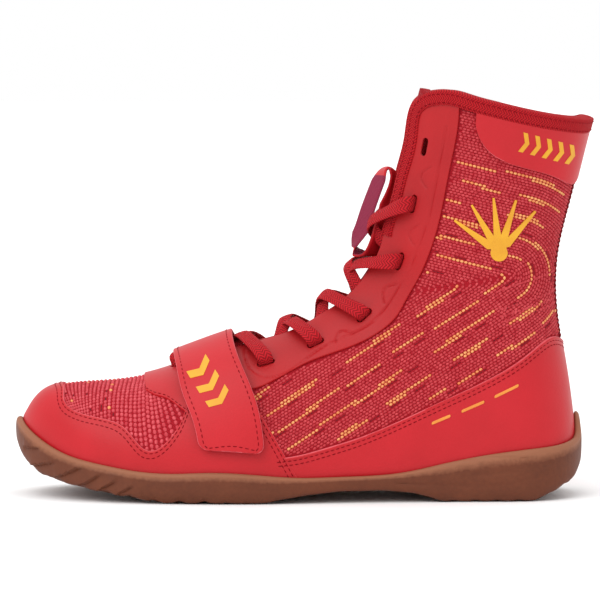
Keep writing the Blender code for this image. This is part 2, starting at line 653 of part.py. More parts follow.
def make_tongue():
    low = [tongue_rib(x=x, half=h) for x, h in ((-44, 15), (-24, 19), (-2, 22), (14, 22))]
    low += [tongue_rib(z=z) for z in (113, 130, 148, 166.5)]
    panel("tongue", low, 14, (3, 3), TONGUE, KNIT)
    hinge = empty("tongue_hinge", TONGUE_HINGE)
    high = [tongue_rib(z=z, half=h) for z, h in ((170.2, 23), (182, 23), (195, 23), (204, 21), (210.5, 13))]
    panel("tongue_top", high, 6, (3, 3), TONGUE, KNIT, hinge)


def strip_loop(name, line, width, thickness, surface):
    """A folded strip: the closed (x, z) line given a thickness and extruded across the boot."""
    line = np.array(line, float)
    line = cubic(np.arange(len(line) + 1), np.vstack([line, line[:1]]), np.linspace(0, len(line), 25)[:-1])
    run = np.roll(line, -1, axis=0) - np.roll(line, 1, axis=0)
    away = np.stack([run[:, 1], -run[:, 0]], axis=1) / np.linalg.norm(run, axis=1, keepdims=True)
    count = len(line)
    vertices = []
    for y in (-width / 2, width / 2):
        for offset in (thickness / 2, -thickness / 2):
            vertices += [(x, y, z) for x, z in line + away * offset]
    faces = []
    for i in range(count):
        j = (i + 1) % count
        for a, b in ((0, 2), (3, 1), (1, 0), (2, 3)):
            faces.append((a * count + i, a * count + j, b * count + j, b * count + i))
    build(name, vertices, faces, surface)


def make_lace_keeper():
    line = ((26.8, 127.6), (28.6, 132), (31.2, 138), (33.4, 145), (36, 152.5), (39.2, 161), (42.2, 167.2),
            (46, 167.4), (48.4, 160), (47.2, 150), (44.4, 139.5), (42, 131.8), (38.6, 125), (34.6, 123.2), (30, 124.4))
    strip_loop("lace_keeper", line, 11, 1.4, COATED)


# The lace's heights over the last at a slot, on its way up or down, and (share of the way to the middle, depth)
# where it runs under the panels. Its heights at the middle and past it are by the side it starts from.
UP_THROUGH = (-2.0, 1.0, 3.2)
DOWN_THROUGH = (3.6, 1.0, -2.0)
UNDER_EYESTAY = ((0.16, 2.0), (0.42, 1.8), (0.68, 1.0))
UNDER_BINDING = ((0.16, 2.6), (0.42, 2.6), (0.68, 0.8))
FOOT_LIFTS = {LATERAL: (4.8, 4.4), MEDIAL: (2.9, 4.4)}
LIFTS = {LATERAL: (3.8, 5.1), MEDIAL: (1.7, 5.1)}


def lace_half(first):
    """(point, width direction) controls of half the lace, from the bar under the throat's foot to its tucked end."""
    places = {hand: slots(hand) for hand in (LATERAL, MEDIAL)}
    centre, normal = LAST.at(top(THROAT_FOOT_X, 3))
    controls = [(centre - normal * 2.2, places[LATERAL][0][2])]
    hand = first
    for k in range(7):
        point, away, along = places[hand][k]
        controls += [(point + away * height, along) for height in (UP_THROUGH if k == 0 else DOWN_THROUGH)]
        if k == 6:
            break
        target = places[-hand][k + 1][0]
        share = 0.4 if k == 0 else 0.5
        middle, middle_normal = LAST.at(point + (target - point) * share + (away + places[-hand][k + 1][1]) * 12)
        width = np.cross(middle_normal, target - point)
        width *= np.sign(width.dot(along)) / np.linalg.norm(width)
        for part, depth in () if k == 0 else UNDER_BINDING if k > 3 else UNDER_EYESTAY:
            under, under_normal = LAST.at(point + (middle - point) * part)
            controls.append((under - under_normal * depth, along + (width - along) * part))
        over, over_normal = LAST.at(target + (middle - target) * 0.5)
        lift, over_lift = (FOOT_LIFTS if k == 0 else LIFTS)[first]
        controls += [(middle + middle_normal * lift, width), (over + over_normal * over_lift, width)]
        hand = -hand
    tuck, tuck_normal = LAST.at(point + along * 12 + (places[-hand][6][0] - point) * 0.12)
    controls.append((tuck - tuck_normal * 3.0, along))
    return controls


def make_lace():
    back = lace_half(MEDIAL)[:0:-1]
    controls = back + lace_half(LATERAL)
    count = 190
    line = through([np.concatenate(pair) for pair in controls], count)
    places = line[:, :3]
    run = np.gradient(places, axis=0)
    run /= np.linalg.norm(run, axis=1, keepdims=True)
    width = line[:, 3:] - run * (line[:, 3:] * run).sum(axis=1, keepdims=True)
    width /= np.linalg.norm(width, axis=1, keepdims=True)
    thick = np.cross(run, width)
    w, t = LACE_WIDTH / 2, LACE_THICKNESS / 2
    vertices = np.stack([places + width * a + thick * b for a, b in ((w, t), (-w, t), (-w, -t), (w, -t))], axis=1)
    faces = [(i * 4 + j, i * 4 + (j + 1) % 4, (i + 1) * 4 + (j + 1) % 4, (i + 1) * 4 + j)
             for i in range(count) for j in range(4)]
    faces += [(0, 1, 2, 3), tuple(count * 4 + j for j in (3, 2, 1, 0))]
    build("lace", vertices.reshape(-1, 3), faces, TAPE)


STRAP_SIDES = (((-48, 31), (-19.5, 31.5)), ((-54.5, 41), (-21.5, 43)), ((-59, 50), (-25, 54)), ((-62, 61), (-31, 67)))
STRAP_RIDGE = ((-64, 3.2), (-34, 2.4))


def strap_layer(points):
    """The strap stands clear of its tapes at the sides and of the lace on top."""
    share = np.clip(1.7 - np.abs(points[..., 1] - 2.5) / 34, 0, 1)
    share = share * share * (3 - 2 * share)
    return [STRAP_SIDE[k] + (STRAP_TOP[k] - STRAP_SIDE[k]) * share for k in (0, 1)]


def make_strap():
    hinge = empty("strap_hinge", STRAP_HINGE)
    halves = [[(side(*f, hand), side(*r, hand)) for f, r in STRAP_SIDES] for hand in (LATERAL, MEDIAL)]
    ridge = [(top(*STRAP_RIDGE[0]), top(*STRAP_RIDGE[1]))]
    panel("strap", halves[0] + ridge + halves[1][::-1], 18, (4,), strap_layer, COATED, hinge)
    anchor = [(side(-48, 30, MEDIAL), side(-19.5, 30.3, MEDIAL)), (side(-46, 24, MEDIAL), side(-18.5, 24, MEDIAL)),
              (side(-45, 19.5, MEDIAL), side(-18, 19, MEDIAL))]
    panel("strap_anchor", anchor, 3, (4,), STRAP_SIDE, COATED)
    pad = [(side(fx + 3, fz + 1, LATERAL), side(rx - 3, rz + 1, LATERAL)) for (fx, fz), (rx, rz) in STRAP_SIDES[:3]]
    panel("strap_loop_pad", pad, 5, (4,), LOOP_PAD, TAPE)
    panel("strap_hook_pad", pad, 5, (4,), HOOK_PAD, TAPE, hinge)
    band = [(side(-57.5, 56, LATERAL), side(-31.5, 60.5, LATERAL)),
            (side(-59.5, 62, LATERAL), side(-34.5, 67.5, LATERAL))]

    def trim_layer(points):
        outer = strap_layer(points)[1]
        return outer + 0.4, outer + 0.9

    panel("strap_trim", band, 2, (4,), trim_layer, YELLOW, hinge)


def make_emblem(hand, word):
    """A plain fan of five tapered rays joined at their foot."""
    foot = np.array((100.0, 126.0))
    length, hub_radius, rays, steps = 28.0, 5.0, 5, 5
    vertices = []

    def add(place):
        """Two vertices, at the print's underside and at its face."""
        point, normal = LAST.at(side(*place, hand))
        vertices.extend([point, point + normal * 0.9])
        return len(vertices) // 2 - 1

    faces, border, ring = [], [], []
    for ray in range(rays):
        angle = math.radians(48 + 24 * ray)
        along = np.array((math.cos(angle), math.sin(angle)))
        across = np.array((-along[1], along[0]))
        rows = []
        for step in range(steps):
            half = 1.1 if step == 0 else 2.7 - 2.2 * (step + 1) / steps
            middle = foot + along * (hub_radius + (length - hub_radius) * step / (steps - 1))
            rows.append((add(middle - across * half), add(middle + across * half)))
        for (a, b), (d, c) in zip(rows, rows[1:]):
            faces.append((a, b, c, d))
        border += [a for a, _ in rows] + [b for _, b in rows[::-1]]
        ring += rows[0]
    hub = [math.radians(200 + 28 * i) for i in range(6)]
    hub = [add(foot + np.array((math.cos(a), math.sin(a))) * hub_radius) for a in hub]
    border += hub
    ring += hub
    centre = add(foot)
    faces += [(centre, a, b) for a, b in zip(ring, ring[1:] + ring[:1])]
    solid = [tuple(2 * v + 1 for v in face) for face in faces] + [tuple(2 * v for v in face[::-1]) for face in faces]
    solid += [(2 * b + 1, 2 * a + 1, 2 * a, 2 * b) for a, b in zip(border, border[1:] + border[:1])]
    build(f"emblem_{word}", vertices, solid, YELLOW)


ACCENTS = (((69, 38), (78, 42)), ((84, 44), (95.5, 49)), ((101, 51.5), (113.5, 57.5)))


def make_accents(hand, word):
    for index, (low, high) in enumerate(ACCENTS):
        ribs = []
        for share in (0, 0.5, 1):
            x, z = (low[k] + (high[k] - low[k]) * share for k in (0, 1))
            ribs.append((side(x, z - 0.6, hand), side(x, z + 0.6, hand)))
        panel(f"heel_accent_{word}_{index + 1}", ribs, 3, (1,), (2.1, 2.6), YELLOW)


def main():
    for old in list(bpy.data.objects):
        bpy.data.objects.remove(old)
    make_toe_panel()
    make_toe_puff()
    make_vamp_mesh()
    make_vamp_overlay()
    both_hands(make_quarter_mesh)
    both_hands(make_eyestay)
    make_heel_panel()
    make_heel_counter()
    make_vamp_lining()
    both_hands(make_quarter_lining)
    make_outsole()
    make_sole_plates()
    make_back_strip()
    make_collar_patch()
    make_collar_binding()
    make_tongue()
    make_lace_keeper()
    make_lace()
    make_strap()
    both_hands(make_emblem)
    both_hands(make_accents)


main()
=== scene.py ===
"""Looks for the boxing boot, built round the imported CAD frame.

The boot's outer form is the same lofted last as the CAD's. Every upper panel is a fine slab of its surface
between two offsets, and stitches, fabric nubs and prints are laid on that surface. Helpers work in millimetres.
"""

import math

import bmesh
import bpy
import numpy as np
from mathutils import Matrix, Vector
from mathutils.bvhtree import BVHTree
from mathutils.interpolate import poly_3d_calc


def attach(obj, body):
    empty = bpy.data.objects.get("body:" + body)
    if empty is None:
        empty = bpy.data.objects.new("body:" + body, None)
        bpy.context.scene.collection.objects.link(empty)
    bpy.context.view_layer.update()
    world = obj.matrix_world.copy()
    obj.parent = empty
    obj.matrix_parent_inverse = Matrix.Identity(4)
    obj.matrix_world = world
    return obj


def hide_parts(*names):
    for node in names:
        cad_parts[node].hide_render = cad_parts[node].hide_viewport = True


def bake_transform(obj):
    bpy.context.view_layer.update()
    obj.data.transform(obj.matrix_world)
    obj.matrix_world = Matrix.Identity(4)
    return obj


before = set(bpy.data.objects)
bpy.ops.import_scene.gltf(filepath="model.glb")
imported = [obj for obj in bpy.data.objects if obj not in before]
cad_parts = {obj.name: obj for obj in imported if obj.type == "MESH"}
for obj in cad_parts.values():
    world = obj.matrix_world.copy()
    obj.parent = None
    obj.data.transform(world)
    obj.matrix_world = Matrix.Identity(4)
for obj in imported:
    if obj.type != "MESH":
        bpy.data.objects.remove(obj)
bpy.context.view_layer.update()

MM = 0.001
LATERAL = -1
MEDIAL = 1
BOTH = (LATERAL, MEDIAL)
HANDS = ((LATERAL, "lateral"), (MEDIAL, "medial"))

# Layers, as offsets from the last's surface in mm: (inner face, outer face).
LINING = (-5.0, -3.8)
MESH = (-1.7, -0.6)
OVERLAY = (-0.55, 0.85)
OVERLAY_RAISED = (-0.55, 1.0)
EYESTAY = (-0.5, 0.95)
PATCH = (-0.5, 1.5)
BACK_TAPE = (-0.6, 0.35)
TONGUE = (-11.6, -6.9)
STRAP_SIDE = (3.6, 5.2)
STRAP_TOP = (6.7, 8.3)
THROAT_GAP = 11.5
EDGE_ROUND = 0.5
CROWN_REACH = 6
THREAD_HEIGHT = 0.42
THREAD_SUNK = 0.1

OUTSOLE_FLOOR = 3.0
EDGE_LIFT = 2.2
SLOT_LENGTH = 9.4
SLOT_WIDTH = 3.4

# The last's sections, toe to collar: front point (x, z) and back point (x, z) of each.
FRONT_LINE = ((-144, 39), (-139, 47.5), (-124, 56.3), (-100, 58.5), (-80, 61.5), (-60, 68), (-35, 77),
              (-10, 85), (8, 96), (20, 106.8), (28, 117), (33.5, 127), (37.5, 136), (40.5, 145), (43.5, 156),
              (46, 169), (48.5, 182), (51, 195), (53.5, 208), (56, 221))
BACK_LINE = ((-143, 25), (-137, 14.5), (-122, 7.5), (-100, 3.7), (-80, 1), (-58, -1), (-30, -1),
             (0, 2.5), (40, 4), (85, -1), (120, 0.5), (138, 11), (140, 38), (136, 67), (131.5, 95),
             (131.8, 125), (137.5, 150), (142.5, 170), (147, 188), (151, 203))
# Half-widths on each side of the ridge, and the ridge's own y.
LATERAL_HALF = (0, 17, 32, 43, 47.5, 50, 50.5, 47.5, 42.5, 38.5, 37, 36.5, 36, 35.5, 34.5, 33.5, 34, 36, 38.5, 40.5)
MEDIAL_HALF = (0, 15, 30, 39, 43, 44.5, 42.5, 37.5, 34.5, 34, 34.5, 35, 35, 35, 34, 33.5, 34, 36, 38.5, 40.5)
RIDGE_Y = (6, 6, 5.5, 4.5, 3.5, 3, 2.5, 2, 1.5, 1, 0.5, 0, 0, 0, 0, 0, 0, 0, 0, 0)
# Where each section is widest, as a share of its length from the front, and how square its halves are.
WIDEST = (0.5, 0.6, 0.68, 0.75, 0.78, 0.78, 0.78, 0.78, 0.76, 0.74, 0.7, 0.66, 0.6, 0.56, 0.54, 0.52, 0.5, 0.5,
          0.5, 0.5)
FRONT_POWER = (2, 2.2, 2.3, 2.3, 2.2, 2.1, 2, 1.9, 1.85, 1.85, 1.9, 1.9, 1.9, 2, 2, 2.1, 2.1, 2.1, 2.1, 2.1)
BACK_POWER = (2, 3, 4, 5, 5, 5, 5, 5, 4.6, 4, 3.2, 2.5, 2.2, 2.1, 2.1, 2.1, 2.1, 2.1, 2.1, 2.1)

# Underside and top edge of the sole, as (x, z).
SOLE_BOTTOM = ((-147, 27), (-138, 14.5), (-130, 11), (-116, 7.3), (-100, 4.5), (-84, 2), (-66, 0), (-24, 0),
               (-10, 1.8), (10, 4.6), (30, 5.6), (50, 5), (64, 2.4), (74, 0), (116, 0), (126, 3.4), (134, 7.2),
               (140, 13), (143, 21))
SOLE_TOP = ((-143.5, 39.7), (-133, 29.5), (-118.7, 22.5), (-100, 18.2), (-80, 15.2), (-64, 14.6), (-46, 15.2),
            (-25, 14.2), (-3.5, 12.6), (20, 12.8), (50, 14.5), (71, 18.6), (92, 22.6), (113, 25.4), (130, 27.4))
HEEL_CURL = 43.0


def running_length(points):
    """Length along a polyline at each of its points."""
    return np.concatenate([[0], np.cumsum(np.linalg.norm(np.diff(points, axis=0), axis=1))])


def read_along(line, length, at):
    """Points of a polyline where its running `length` is `at`."""
    return np.stack([np.interp(at, length, line[:, k]) for k in range(3)], axis=-1)


def unit(vectors):
    """The vectors at length 1."""
    return vectors / np.linalg.norm(vectors, axis=-1, keepdims=True)


def tube_faces(rows, ring, closed=False):
    """Quads that join each ring of points to the next one, and the last to the first if `closed`."""
    return [(i * ring + j, i * ring + (j + 1) % ring, (i + 1) % rows * ring + (j + 1) % ring,
             (i + 1) % rows * ring + j) for i in range(rows if closed else rows - 1) for j in range(ring)]


def tube_uv(line, across):
    """Cloth coordinates in mm for a tube: the length along `line`, and `across` round each ring."""
    return np.stack(np.broadcast_arrays(running_length(line)[:, None], np.array(across)[None]), axis=-1).reshape(-1, 2)


def cubic(knots, values, at):
    """Natural cubic spline through `values` at `knots`, read at the places `at`."""
    knots = np.asarray(knots, float)
    values = np.asarray(values, float)
    at = np.asarray(at, float)
    gaps = np.diff(knots)
    shape = (-1,) + (1,) * (values.ndim - 1)
    slopes = np.diff(values, axis=0) / gaps.reshape(shape)
    matrix = np.eye(len(knots))
    right = np.zeros_like(values)
    for i in range(1, len(knots) - 1):
        matrix[i, i - 1:i + 2] = gaps[i - 1], 2 * (gaps[i - 1] + gaps[i]), gaps[i]
        right[i] = 6 * (slopes[i] - slopes[i - 1])
    bend = np.linalg.solve(matrix, right.reshape(len(knots), -1)).reshape(values.shape)
    i = np.clip(np.searchsorted(knots, at, "right") - 1, 0, len(gaps) - 1)
    t = (at - knots[i]).reshape(shape)
    h = gaps[i].reshape(shape)
    linear = slopes[i] - h * (2 * bend[i] + bend[i + 1]) / 6
    return values[i] + t * (linear + t * (bend[i] / 2 + t * (bend[i + 1] - bend[i]) / (6 * h)))


def through(points, count):
    """`count` + 1 points along a spline through `points`, evenly spaced along their chords."""
    points = np.asarray(points, float)
    steps = np.linalg.norm(np.diff(points, axis=0).reshape(len(points) - 1, -1), axis=1)
    knots = np.concatenate([[0], np.cumsum(np.maximum(steps, 1e-6))])
    return cubic(knots, points, np.linspace(0, knots[-1], count + 1))


def monotone(table, at):
    """Smooth reading of an (x, z) table that never overshoots it."""
    x, z = np.array(table, float).T
    gaps = np.diff(x)
    slopes = np.diff(z) / gaps
    tangent = np.concatenate([slopes[:1], (slopes[1:] + slopes[:-1]) / 2, slopes[-1:]])
    flat = slopes[1:] * slopes[:-1] <= 0
    tangent[1:-1][flat] = 0
    for i, slope in enumerate(slopes):
        limit = 3 * abs(slope)
        tangent[i] = np.clip(tangent[i], -limit, limit)
        tangent[i + 1] = np.clip(tangent[i + 1], -limit, limit)
    at = np.clip(np.asarray(at, float), x[0], x[-1])
    i = np.clip(np.searchsorted(x, at, "right") - 1, 0, len(gaps) - 1)
    t = (at - x[i]) / gaps[i]
    start = z[i] + t * gaps[i] * tangent[i]
    end = z[i + 1] - (1 - t) * gaps[i] * tangent[i + 1]
    blend = t * t * (3 - 2 * t)
    plain = z[i] + (z[i + 1] - z[i]) * t
    return np.where(slopes[i] == 0, plain, start + (end - start) * blend)


class Last:
    """The boot's outer form, as a fine mesh that panels are laid on."""

    def __init__(self, stations=320, half_ring=120):
        front = np.array(FRONT_LINE, float)
        back = np.array(BACK_LINE, float)
        middle = (front + back) / 2
        run = running_length(middle)
        fine = np.linspace(0, 1, stations) ** 1.25 * run[-1]
        columns = [cubic(run, column, fine) for column in (front, back, RIDGE_Y, WIDEST, FRONT_POWER, BACK_POWER)]
        halves = [np.sqrt(np.maximum(cubic(run, np.square(half), fine), 0)) for half in (LATERAL_HALF, MEDIAL_HALF)]
        rings = []
        for i in range(stations):
            f, b, ridge, widest, fp, bp = [column[i] for column in columns]
            sides = [self.half_section(f, b, ridge, hand * half[i], widest, fp, bp, half_ring)
                     for hand, half in zip(BOTH, halves)]
            rings.append(np.concatenate([sides[0], sides[1][-2:0:-1]]))
        self.rings = np.array(rings)
        self.normals = self.ring_normals()
        self.corners = tube_faces(stations, self.rings.shape[1])
        self.points = [Vector(p) for p in self.rings.reshape(-1, 3)]
        self.flat_normals = [Vector(n) for n in self.normals.reshape(-1, 3)]
        self.tree = BVHTree.FromPolygons(self.points, self.corners)

    @staticmethod
    def half_section(front, back, ridge, width, widest, front_power, back_power, count):
        """Points from the front to the back of one half of a section, evenly spaced round it."""
        angle = np.linspace(0, math.pi / 2, 300)
        upper = widest * (1 - np.cos(angle) ** (2 / front_power))
        upper_side = np.sin(angle) ** (2 / front_power)
        lower = widest + (1 - widest) * np.cos(angle[::-1]) ** (2 / back_power)
        lower_side = np.sin(angle[::-1]) ** (2 / back_power)
        share = np.concatenate([upper, lower[1:]])
        side = np.concatenate([upper_side, lower_side[1:]])
        line = front + share[:, None] * (back - front)
        path = np.stack([line[:, 0], ridge + width * side, line[:, 1]], axis=1)
        length = running_length(path)
        return read_along(path, length, np.linspace(0, length[-1], count))

    def ring_normals(self):
        round_ring = np.roll(self.rings, -1, axis=1) - np.roll(self.rings, 1, axis=1)
        along = np.gradient(self.rings, axis=0)
        normals = np.cross(along, round_ring)
        normals[0] = normals[1] * (1, 0, 1)
        normals /= np.maximum(np.linalg.norm(normals, axis=2, keepdims=True), 1e-12)
        outward = self.rings[100] - self.rings[100].mean(axis=0)
        return normals * np.sign((normals[100] * outward).sum())

    def at(self, point):
        """(point, normal) of the surface nearest to `point`."""
        place, _, index, _ = self.tree.find_nearest(Vector(point))
        corners = self.corners[index]
        weights = poly_3d_calc([self.points[c] for c in corners], place)
        normal = sum((self.flat_normals[c] * w for c, w in zip(corners, weights)), Vector())
        return np.array(place), np.array(normal.normalized())

    def cast(self, start, direction):
        """Where a ray meets the surface, or the nearest point to its start if it misses."""
        hit = self.tree.ray_cast(Vector(start), Vector(direction))[0]
        return self.at(start)[0] if hit is None else np.array(hit)

    def side(self, x, z, hand=LATERAL):
        """The surface point seen at (x, z) from one side."""
        return self.cast((x, hand * 200, z), (0, -hand, 0))

    def top(self, x, y):
        return self.cast((x, y, 400), (0, 0, -1))

    def front(self, y, z):
        return self.cast((-400, y, z), (1, 0, 0))

    def path(self, start, end, count):
        """`count` + 1 surface points from `start` to `end` along a nearly straight line on the surface."""
        if count == 1:
            return [start, end]
        first = count // 2
        middle = self.at(start + (end - start) * (first / count))[0]
        return self.path(start, middle, first) + self.path(middle, end, count - first)[1:]


LAST = Last()
side, top, front = LAST.side, LAST.top, LAST.front


def patch_grid(ribs, along, across):
    """Surface points of a panel: `ribs` are lists of points, splined along and joined across."""
    rows = []
    for rib in through(ribs, along):
        rib = [LAST.at(p)[0] for p in rib]
        row = [rib[0]]
        for start, end, count in zip(rib, rib[1:], across):
            row += LAST.path(start, end, count)[1:]
        rows.append(row)
    return np.array(rows)


def slab_faces(rows, columns):
    """Faces of a closed slab between two grids of points, the outer one first."""
    size = rows * columns
    faces = []
    for i in range(rows - 1):
        for j in range(columns - 1):
            a, b, c, d = i * columns + j, i * columns + j + 1, (i + 1) * columns + j + 1, (i + 1) * columns + j
            faces.append((a, b, c, d))
            faces.append((d + size, c + size, b + size, a + size))
    border = list(range(columns)) + [i * columns + columns - 1 for i in range(1, rows)]
    border += [(rows - 1) * columns + j for j in range(columns - 2, -1, -1)]
    border += [i * columns for i in range(rows - 2, 0, -1)]
    for a, b in zip(border, border[1:] + border[:1]):
        faces.append((b, a, a + size, b + size))
    return faces


def sample(values, share):
    """Linear reading of `values` along their own index, at shares 0..1."""
    values = np.asarray(values, float)
    place = np.clip(np.asarray(share, float), 0, 1) * (len(values) - 1)
    low = np.minimum(place.astype(int), len(values) - 2)
    part = (place - low).reshape((-1,) + (1,) * (values.ndim - 1))
    return values[low] * (1 - part) + values[low + 1] * part


def on_last(points):
    """Surface points and normals nearest to an array of points."""
    points = np.asarray(points, float)
    found = np.array([np.concatenate(LAST.at(p)) for p in points.reshape(-1, 3)])
    return found[:, :3].reshape(points.shape), found[:, 3:].reshape(points.shape)


def smoothstep(value):
    value = np.clip(value, 0, 1)
    return value * value * (3 - 2 * value)


def gap_to_line(points, line):
    """Distance of each point from a polyline of 3-D points."""
    points = np.asarray(points, float)
    flat = points.reshape(-1, 3)
    best = np.full(len(flat), 1e9)
    line = np.asarray(line, float)
    for start, end in zip(line, line[1:]):
        run = end - start
        share = np.clip((flat - start) @ run / max(run @ run, 1e-9), 0, 1)
        best = np.minimum(best, np.linalg.norm(flat - start - share[:, None] * run, axis=1))
    return best.reshape(points.shape[:-1])


def bordered(grid, edge):
    """The grid with extra rows and columns close to its borders, for a rounded edge."""
    for axis in (0, 1):
        grid = np.moveaxis(grid, axis, 0)
        size = len(grid)
        spacing = np.linalg.norm(grid[1] - grid[0], axis=-1).mean()
        close = [step for step in (0.12 * edge, 0.4 * edge, edge) if step < 0.8 * spacing]
        low = [grid[0] + (grid[1] - grid[0]) * (step / spacing) for step in close]
        spacing = np.linalg.norm(grid[-1] - grid[-2], axis=-1).mean()
        high = [grid[-1] + (grid[-2] - grid[-1]) * (step / spacing) for step in close]
        grid = np.concatenate([grid[:1], np.array(low).reshape(-1, *grid.shape[1:]), grid[1:size - 1],
                               np.array(high[::-1]).reshape(-1, *grid.shape[1:]), grid[-1:]])
        grid = np.moveaxis(grid, 0, axis)
    return grid


def arc(grid, axis):
    """Mean arc length along one axis of a grid of points."""
    steps = np.linalg.norm(np.diff(grid, axis=axis), axis=-1)
    return np.concatenate([np.zeros_like(np.take(steps, [0], axis)), np.cumsum(steps, axis=axis)], axis=axis)


def mesh_object(name, vertices, faces, materials, uv=None, slots_of_faces=None, smooth=40.0):
    """One mesh object, its vertices given in mm. `uv` holds one pair per vertex, in metres along the surface."""
    mesh = bpy.data.meshes.new(name)
    mesh.from_pydata((np.asarray(vertices, float) * MM).tolist(), [], faces)
    if uv is not None:
        layer = mesh.uv_layers.new(name="cloth")
        index = np.empty(len(mesh.loops), np.int32)
        mesh.loops.foreach_get("vertex_index", index)
        layer.data.foreach_set("uv", np.asarray(uv, np.float32)[index].reshape(-1))
    for surface in materials if isinstance(materials, (list, tuple)) else [materials]:
        mesh.materials.append(surface)
    if slots_of_faces is not None:
        mesh.polygons.foreach_set("material_index", np.asarray(slots_of_faces, np.int32))
    mesh.shade_smooth()
    mesh.set_sharp_from_angle(angle=math.radians(smooth))
    made = bpy.data.objects.new(name, mesh)
    bpy.context.scene.collection.objects.link(made)
    return made


def edge_drop(distance, radius):
    """How far a rounded edge falls below the panel's face at a distance from its border."""
    inside = np.clip(1 - distance / radius, 0, 1)
    return radius * (1 - np.sqrt(1 - inside * inside))


def border_gap(points):
    """Each grid point's distance from the grid's nearest border."""
    run, across = arc(points, 0), arc(points, 1)
    return np.minimum(np.minimum(run, run[-1:] - run), np.minimum(across, across[:, -1:] - across))


def rounded_ends(points, radius, low_only=False, round_last=True):
    """Pulls a grid's corner rows in, so that the panel's ends have round corners.

    `low_only` leaves the last column straight, and without `round_last` the last row keeps its corners.
    """
    rounded = points.copy()
    length = arc(points, 0)
    for gap in (length, length[-1:] - length)[:2 if round_last else 1]:
        near = gap.mean(axis=1)
        width = arc(rounded, 1)[:, -1]
        reach = np.minimum(radius, width / 2)
        drop = np.where(near < reach, reach - np.sqrt(np.maximum(reach ** 2 - (reach - near) ** 2, 0)), 0)
        scale = 1 - (1 if low_only else 2) * drop / np.maximum(width, 1e-9)
        middle = rounded[:, -1:] if low_only else (rounded[:, :1] + rounded[:, -1:]) / 2
        rounded = middle + (rounded - middle) * np.maximum(scale, 0.02)[:, None, None]
    return rounded


def blurred(normals):
    """Normals averaged with their neighbours, so that a stiff layer bridges small hollows."""
    for axis in (0, 1):
        padded = np.concatenate([np.take(normals, [0, 0], axis), normals, np.take(normals, [-1, -1], axis)], axis=axis)
        size = normals.shape[axis]
        normals = sum(np.take(padded, range(k, k + size), axis) for k in range(5))
    return unit(normals)


def sandwich(name, points, normals, outer, inner, materials, kinds=None):
    """A closed mesh between two offsets of a grid of surface points."""
    levels = [np.broadcast_to(np.asarray(level, float), points.shape[:2]) for level in (outer, inner)]
    vertices = np.concatenate([(points + normals * level[..., None]).reshape(-1, 3) for level in levels])
    uv = np.stack([arc(points, 0), arc(points, 1)], axis=-1).reshape(-1, 2) * MM
    made = mesh_object(name, vertices, slab_faces(*points.shape[:2]), materials, np.concatenate([uv, uv]), kinds)
    flip_if_inside_out(made)
    return made


def slab(name, ribs, spacing, layer, materials, relief=None, edge=EDGE_ROUND, edge_slot=None, radius=None,
         low_only=False, round_last=True, crown=0.0, soften=0):
    """A fine panel of the upper: ribs splined over the last, `spacing` mm between its rows and columns.

    `layer` is (inner, outer) or a function of the points. `relief(points)` is added to the outer face, and
    `crown` swells its middle. Faces of the cut edge take material `edge_slot`, a painted highlight. With a `radius`,
    its ends have round corners (`low_only`, `round_last`: as in rounded_ends). Its normals are blurred `soften` times.
    """
    coarse = patch_grid(ribs, 3 * (len(ribs) - 1), (2,) * (len(ribs[0]) - 1))
    along = max(6, int(arc(coarse, 0)[-1].mean() / spacing))
    widths = [np.linalg.norm(np.diff(coarse[:, 2 * k:2 * k + 3], axis=1), axis=-1).sum(axis=1).mean()
              for k in range(len(ribs[0]) - 1)]
    across = [max(3 if radius is None else 4, int(width / spacing)) for width in widths]
    points = bordered(patch_grid(ribs, along, across), edge)
    if radius is not None:
        points = rounded_ends(bordered(points, radius), radius, low_only, round_last)
    points, normals = on_last(points)
    for _ in range(soften):
        normals = blurred(normals)
    inner, outer = layer(points) if callable(layer) else layer
    gap = border_gap(points)
    height = outer - edge_drop(gap, edge) + crown * smoothstep(gap / CROWN_REACH)
    if relief is not None:
        height = height + relief(points)
    # The rounded edge takes the lighter pink of a painted highlight.
    kinds = None if edge_slot is None else highlight_kinds(gap, edge, edge_slot)
    return sandwich(name, points, normals, height, inner, materials, kinds), points


def highlight_kinds(gap, edge, edge_slot):
    """Material slots that put `edge_slot`, the painted edge highlight, on a slab's cut edge and its rounding."""
    near = gap < edge * 0.9
    rounding = (near[:-1, :-1] & near[1:, 1:]).reshape(-1)
    kinds = np.full(2 * len(rounding) + 2 * (sum(gap.shape) - 2), edge_slot)
    kinds[:2 * len(rounding)] = 0
    kinds[:2 * len(rounding):2] = np.where(rounding, edge_slot, 0)
    return kinds


def flip_if_inside_out(made):
    work = bmesh.new()
    work.from_mesh(made.data)
    bmesh.ops.remove_doubles(work, verts=work.verts, dist=1e-6)
    if work.calc_volume(signed=True) < 0:
        bmesh.ops.reverse_faces(work, faces=work.faces)
    work.to_mesh(made.data)
    work.free()


def face_outward(made, weld=0.0):
    """Recalculates a closed mesh's normals. With `weld`, points nearer than that many metres are joined first."""
    work = bmesh.new()
    work.from_mesh(made.data)
    if weld:
        bmesh.ops.remove_doubles(work, verts=work.verts, dist=weld)
        bmesh.ops.dissolve_degenerate(work, edges=work.edges, dist=1e-6)
    bmesh.ops.recalc_face_normals(work, faces=work.faces)
    work.to_mesh(made.data)
    work.free()


def spaced(line, step):
    """Points along a polyline at equal steps, with unit directions."""
    line = np.asarray(line, float)
    length = running_length(line)
    count = max(1, int(round(length[-1] / step)))
    at = (np.arange(count) + 0.5) * length[-1] / count
    points = read_along(line, length, at)
    run = read_along(line, length, at + 0.3) - read_along(line, length, at - 0.3)
    return points, run / np.maximum(np.linalg.norm(run, axis=1, keepdims=True), 1e-9)


